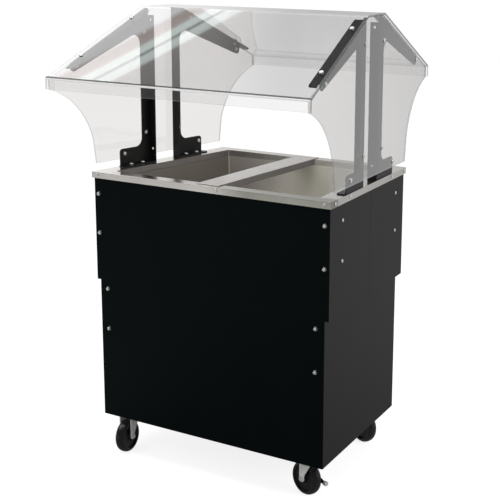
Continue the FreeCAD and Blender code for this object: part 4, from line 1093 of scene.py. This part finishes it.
def turning_tree():
    """Geometry Nodes tree: a closed outline swept round a circle, with a tyre and a core finish."""
    tree = bpy.data.node_groups.new("outline_turned", "GeometryNodeTree")
    for name, kind in (
        ("Outline", "NodeSocketGeometry"), ("Steps", "NodeSocketInt"), ("Sweep radius", "NodeSocketFloat"),
        ("Tyre", "NodeSocketMaterial"), ("Core", "NodeSocketMaterial"),
    ):
        tree.interface.new_socket(name, in_out="INPUT", socket_type=kind)
    tree.interface.new_socket("Turned", in_out="OUTPUT", socket_type="NodeSocketGeometry")
    given = tree.nodes.new("NodeGroupInput")
    result = tree.nodes.new("NodeGroupOutput")
    circle = tree.nodes.new("GeometryNodeCurvePrimitiveCircle")
    upright = tree.nodes.new("GeometryNodeSetCurveNormal")
    upright.mode = "Z_UP"
    profile = tree.nodes.new("GeometryNodeMeshToCurve")
    sweep = tree.nodes.new("GeometryNodeCurveToMesh")
    smooth = tree.nodes.new("GeometryNodeSetShadeSmooth")
    real = tree.nodes.new("GeometryNodeRealizeInstances")
    core = tree.nodes.new("GeometryNodeSetMaterial")
    is_tyre = tree.nodes.new("GeometryNodeInputNamedAttribute")
    is_tyre.data_type = "BOOLEAN"
    is_tyre.inputs["Name"].default_value = "tyre"
    tyre = tree.nodes.new("GeometryNodeSetMaterial")
    link = tree.links.new
    link(given.outputs["Steps"], circle.inputs["Resolution"])
    link(given.outputs["Sweep radius"], circle.inputs["Radius"])
    link(circle.outputs["Curve"], upright.inputs["Curve"])
    link(upright.outputs["Curve"], sweep.inputs["Curve"])
    link(given.outputs["Outline"], profile.inputs["Mesh"])
    link(profile.outputs["Curve"], sweep.inputs["Profile Curve"])
    link(sweep.outputs["Mesh"], smooth.inputs["Geometry"])
    link(smooth.outputs["Geometry"], real.inputs["Geometry"])
    link(real.outputs["Geometry"], core.inputs["Geometry"])
    link(given.outputs["Core"], core.inputs["Material"])
    link(core.outputs["Geometry"], tyre.inputs["Geometry"])
    link(is_tyre.outputs["Attribute"], tyre.inputs["Selection"])
    link(given.outputs["Tyre"], tyre.inputs["Material"])
    link(tyre.outputs["Geometry"], result.inputs["Turned"])
    return tree


SWEEP_RADIUS = 0.03
turned_about_axle = turning_tree()


def wheel_outline():
    """Closed outline of a wheel as points of radius and height, with its tyre marked."""
    half = [(r / 1000, z / 1000) for r, z in WHEEL_OUTLINE]
    whole = half + [(r, -z) for r, z in reversed(half)]
    count = len(whole)
    mesh = bpy.data.meshes.new("wheel_outline")
    mesh.from_pydata(
        [(r - SWEEP_RADIUS, z, 0.0) for r, z in whole], [(i, (i + 1) % count) for i in range(count)], [],
    )
    tyre = mesh.attributes.new("tyre", "BOOLEAN", "POINT")
    tyre.data.foreach_set("value", [TYRE_FROM <= i < count - TYRE_FROM for i in range(count)])
    return mesh


def turned_wheel(corner):
    """One wheel, turned about its axle, in place of its solid."""
    middle, way = wheel_place("caster_wheel_" + corner)
    name = "wheel_" + corner + "_turned"
    given = {"Steps": WHEEL_STEPS, "Sweep radius": SWEEP_RADIUS, "Tyre": tyre_rubber, "Core": wheel_core}
    made = run_tree(name, wheel_outline(), turned_about_axle, given)
    made.transform(Matrix.Translation(middle) @ way.to_track_quat("Z", "Y").to_matrix().to_4x4())
    skin = bmesh.new()
    skin.from_mesh(made)
    bmesh.ops.recalc_face_normals(skin, faces=skin.faces)
    skin.to_mesh(made)
    skin.free()
    piece = bpy.data.objects.new(name, made)
    bpy.context.scene.collection.objects.link(piece)
    stand_in(piece, "caster_wheel_" + corner)


for corner in CORNERS:
    turned_wheel(corner)
print("wheels:", len(CORNERS), "radius:", WHEEL_OUTLINE[-1][0], "mm")

# %% Forks, plates and axles
eased_copies(["caster_plate_" + corner for corner in CORNERS], zinc, 0.0006)
eased_copies(["caster_fork_" + corner for corner in CORNERS], zinc, 0.0009)
eased_copies(["caster_axle_" + corner for corner in CORNERS], bright_steel, 0.0005)

# %% [markdown]
# The brake lever ends in a round foot pad.  In the photograph it stands a little nearer to the wheel
# than on the solid, and its pad looks bright, so the copy is shortened and gets a second finish.

# %% Brake levers

PAD_FROM = 0.0505
ARM_FROM = 0.035
SHORTER = 0.011


def brake_lever(corner):
    """Brake lever with a bright pad, a little shorter than its solid."""
    solid = "brake_lever_" + corner
    middle, way = wheel_place("caster_wheel_" + corner)
    skin = welded(solid)
    radial = {vert: (vert.co - middle) - (vert.co - middle).dot(way) * way for vert in skin.verts}
    for face in skin.faces:
        if min(radial[vert].length for vert in face.verts) > PAD_FROM:
            face.material_index = 1
    far = [vert for vert in skin.verts if radial[vert].length > ARM_FROM]
    outward = sum((radial[vert] for vert in far), Vector()).normalized()
    for vert in far:
        vert.co -= SHORTER * outward
    stand_in(ease(skin, "lever_" + corner, [wheel_core, bright_steel], 0.0008), solid)


for corner in ("front_right", "rear_left"):
    brake_lever(corner)
print("brake levers: 2")
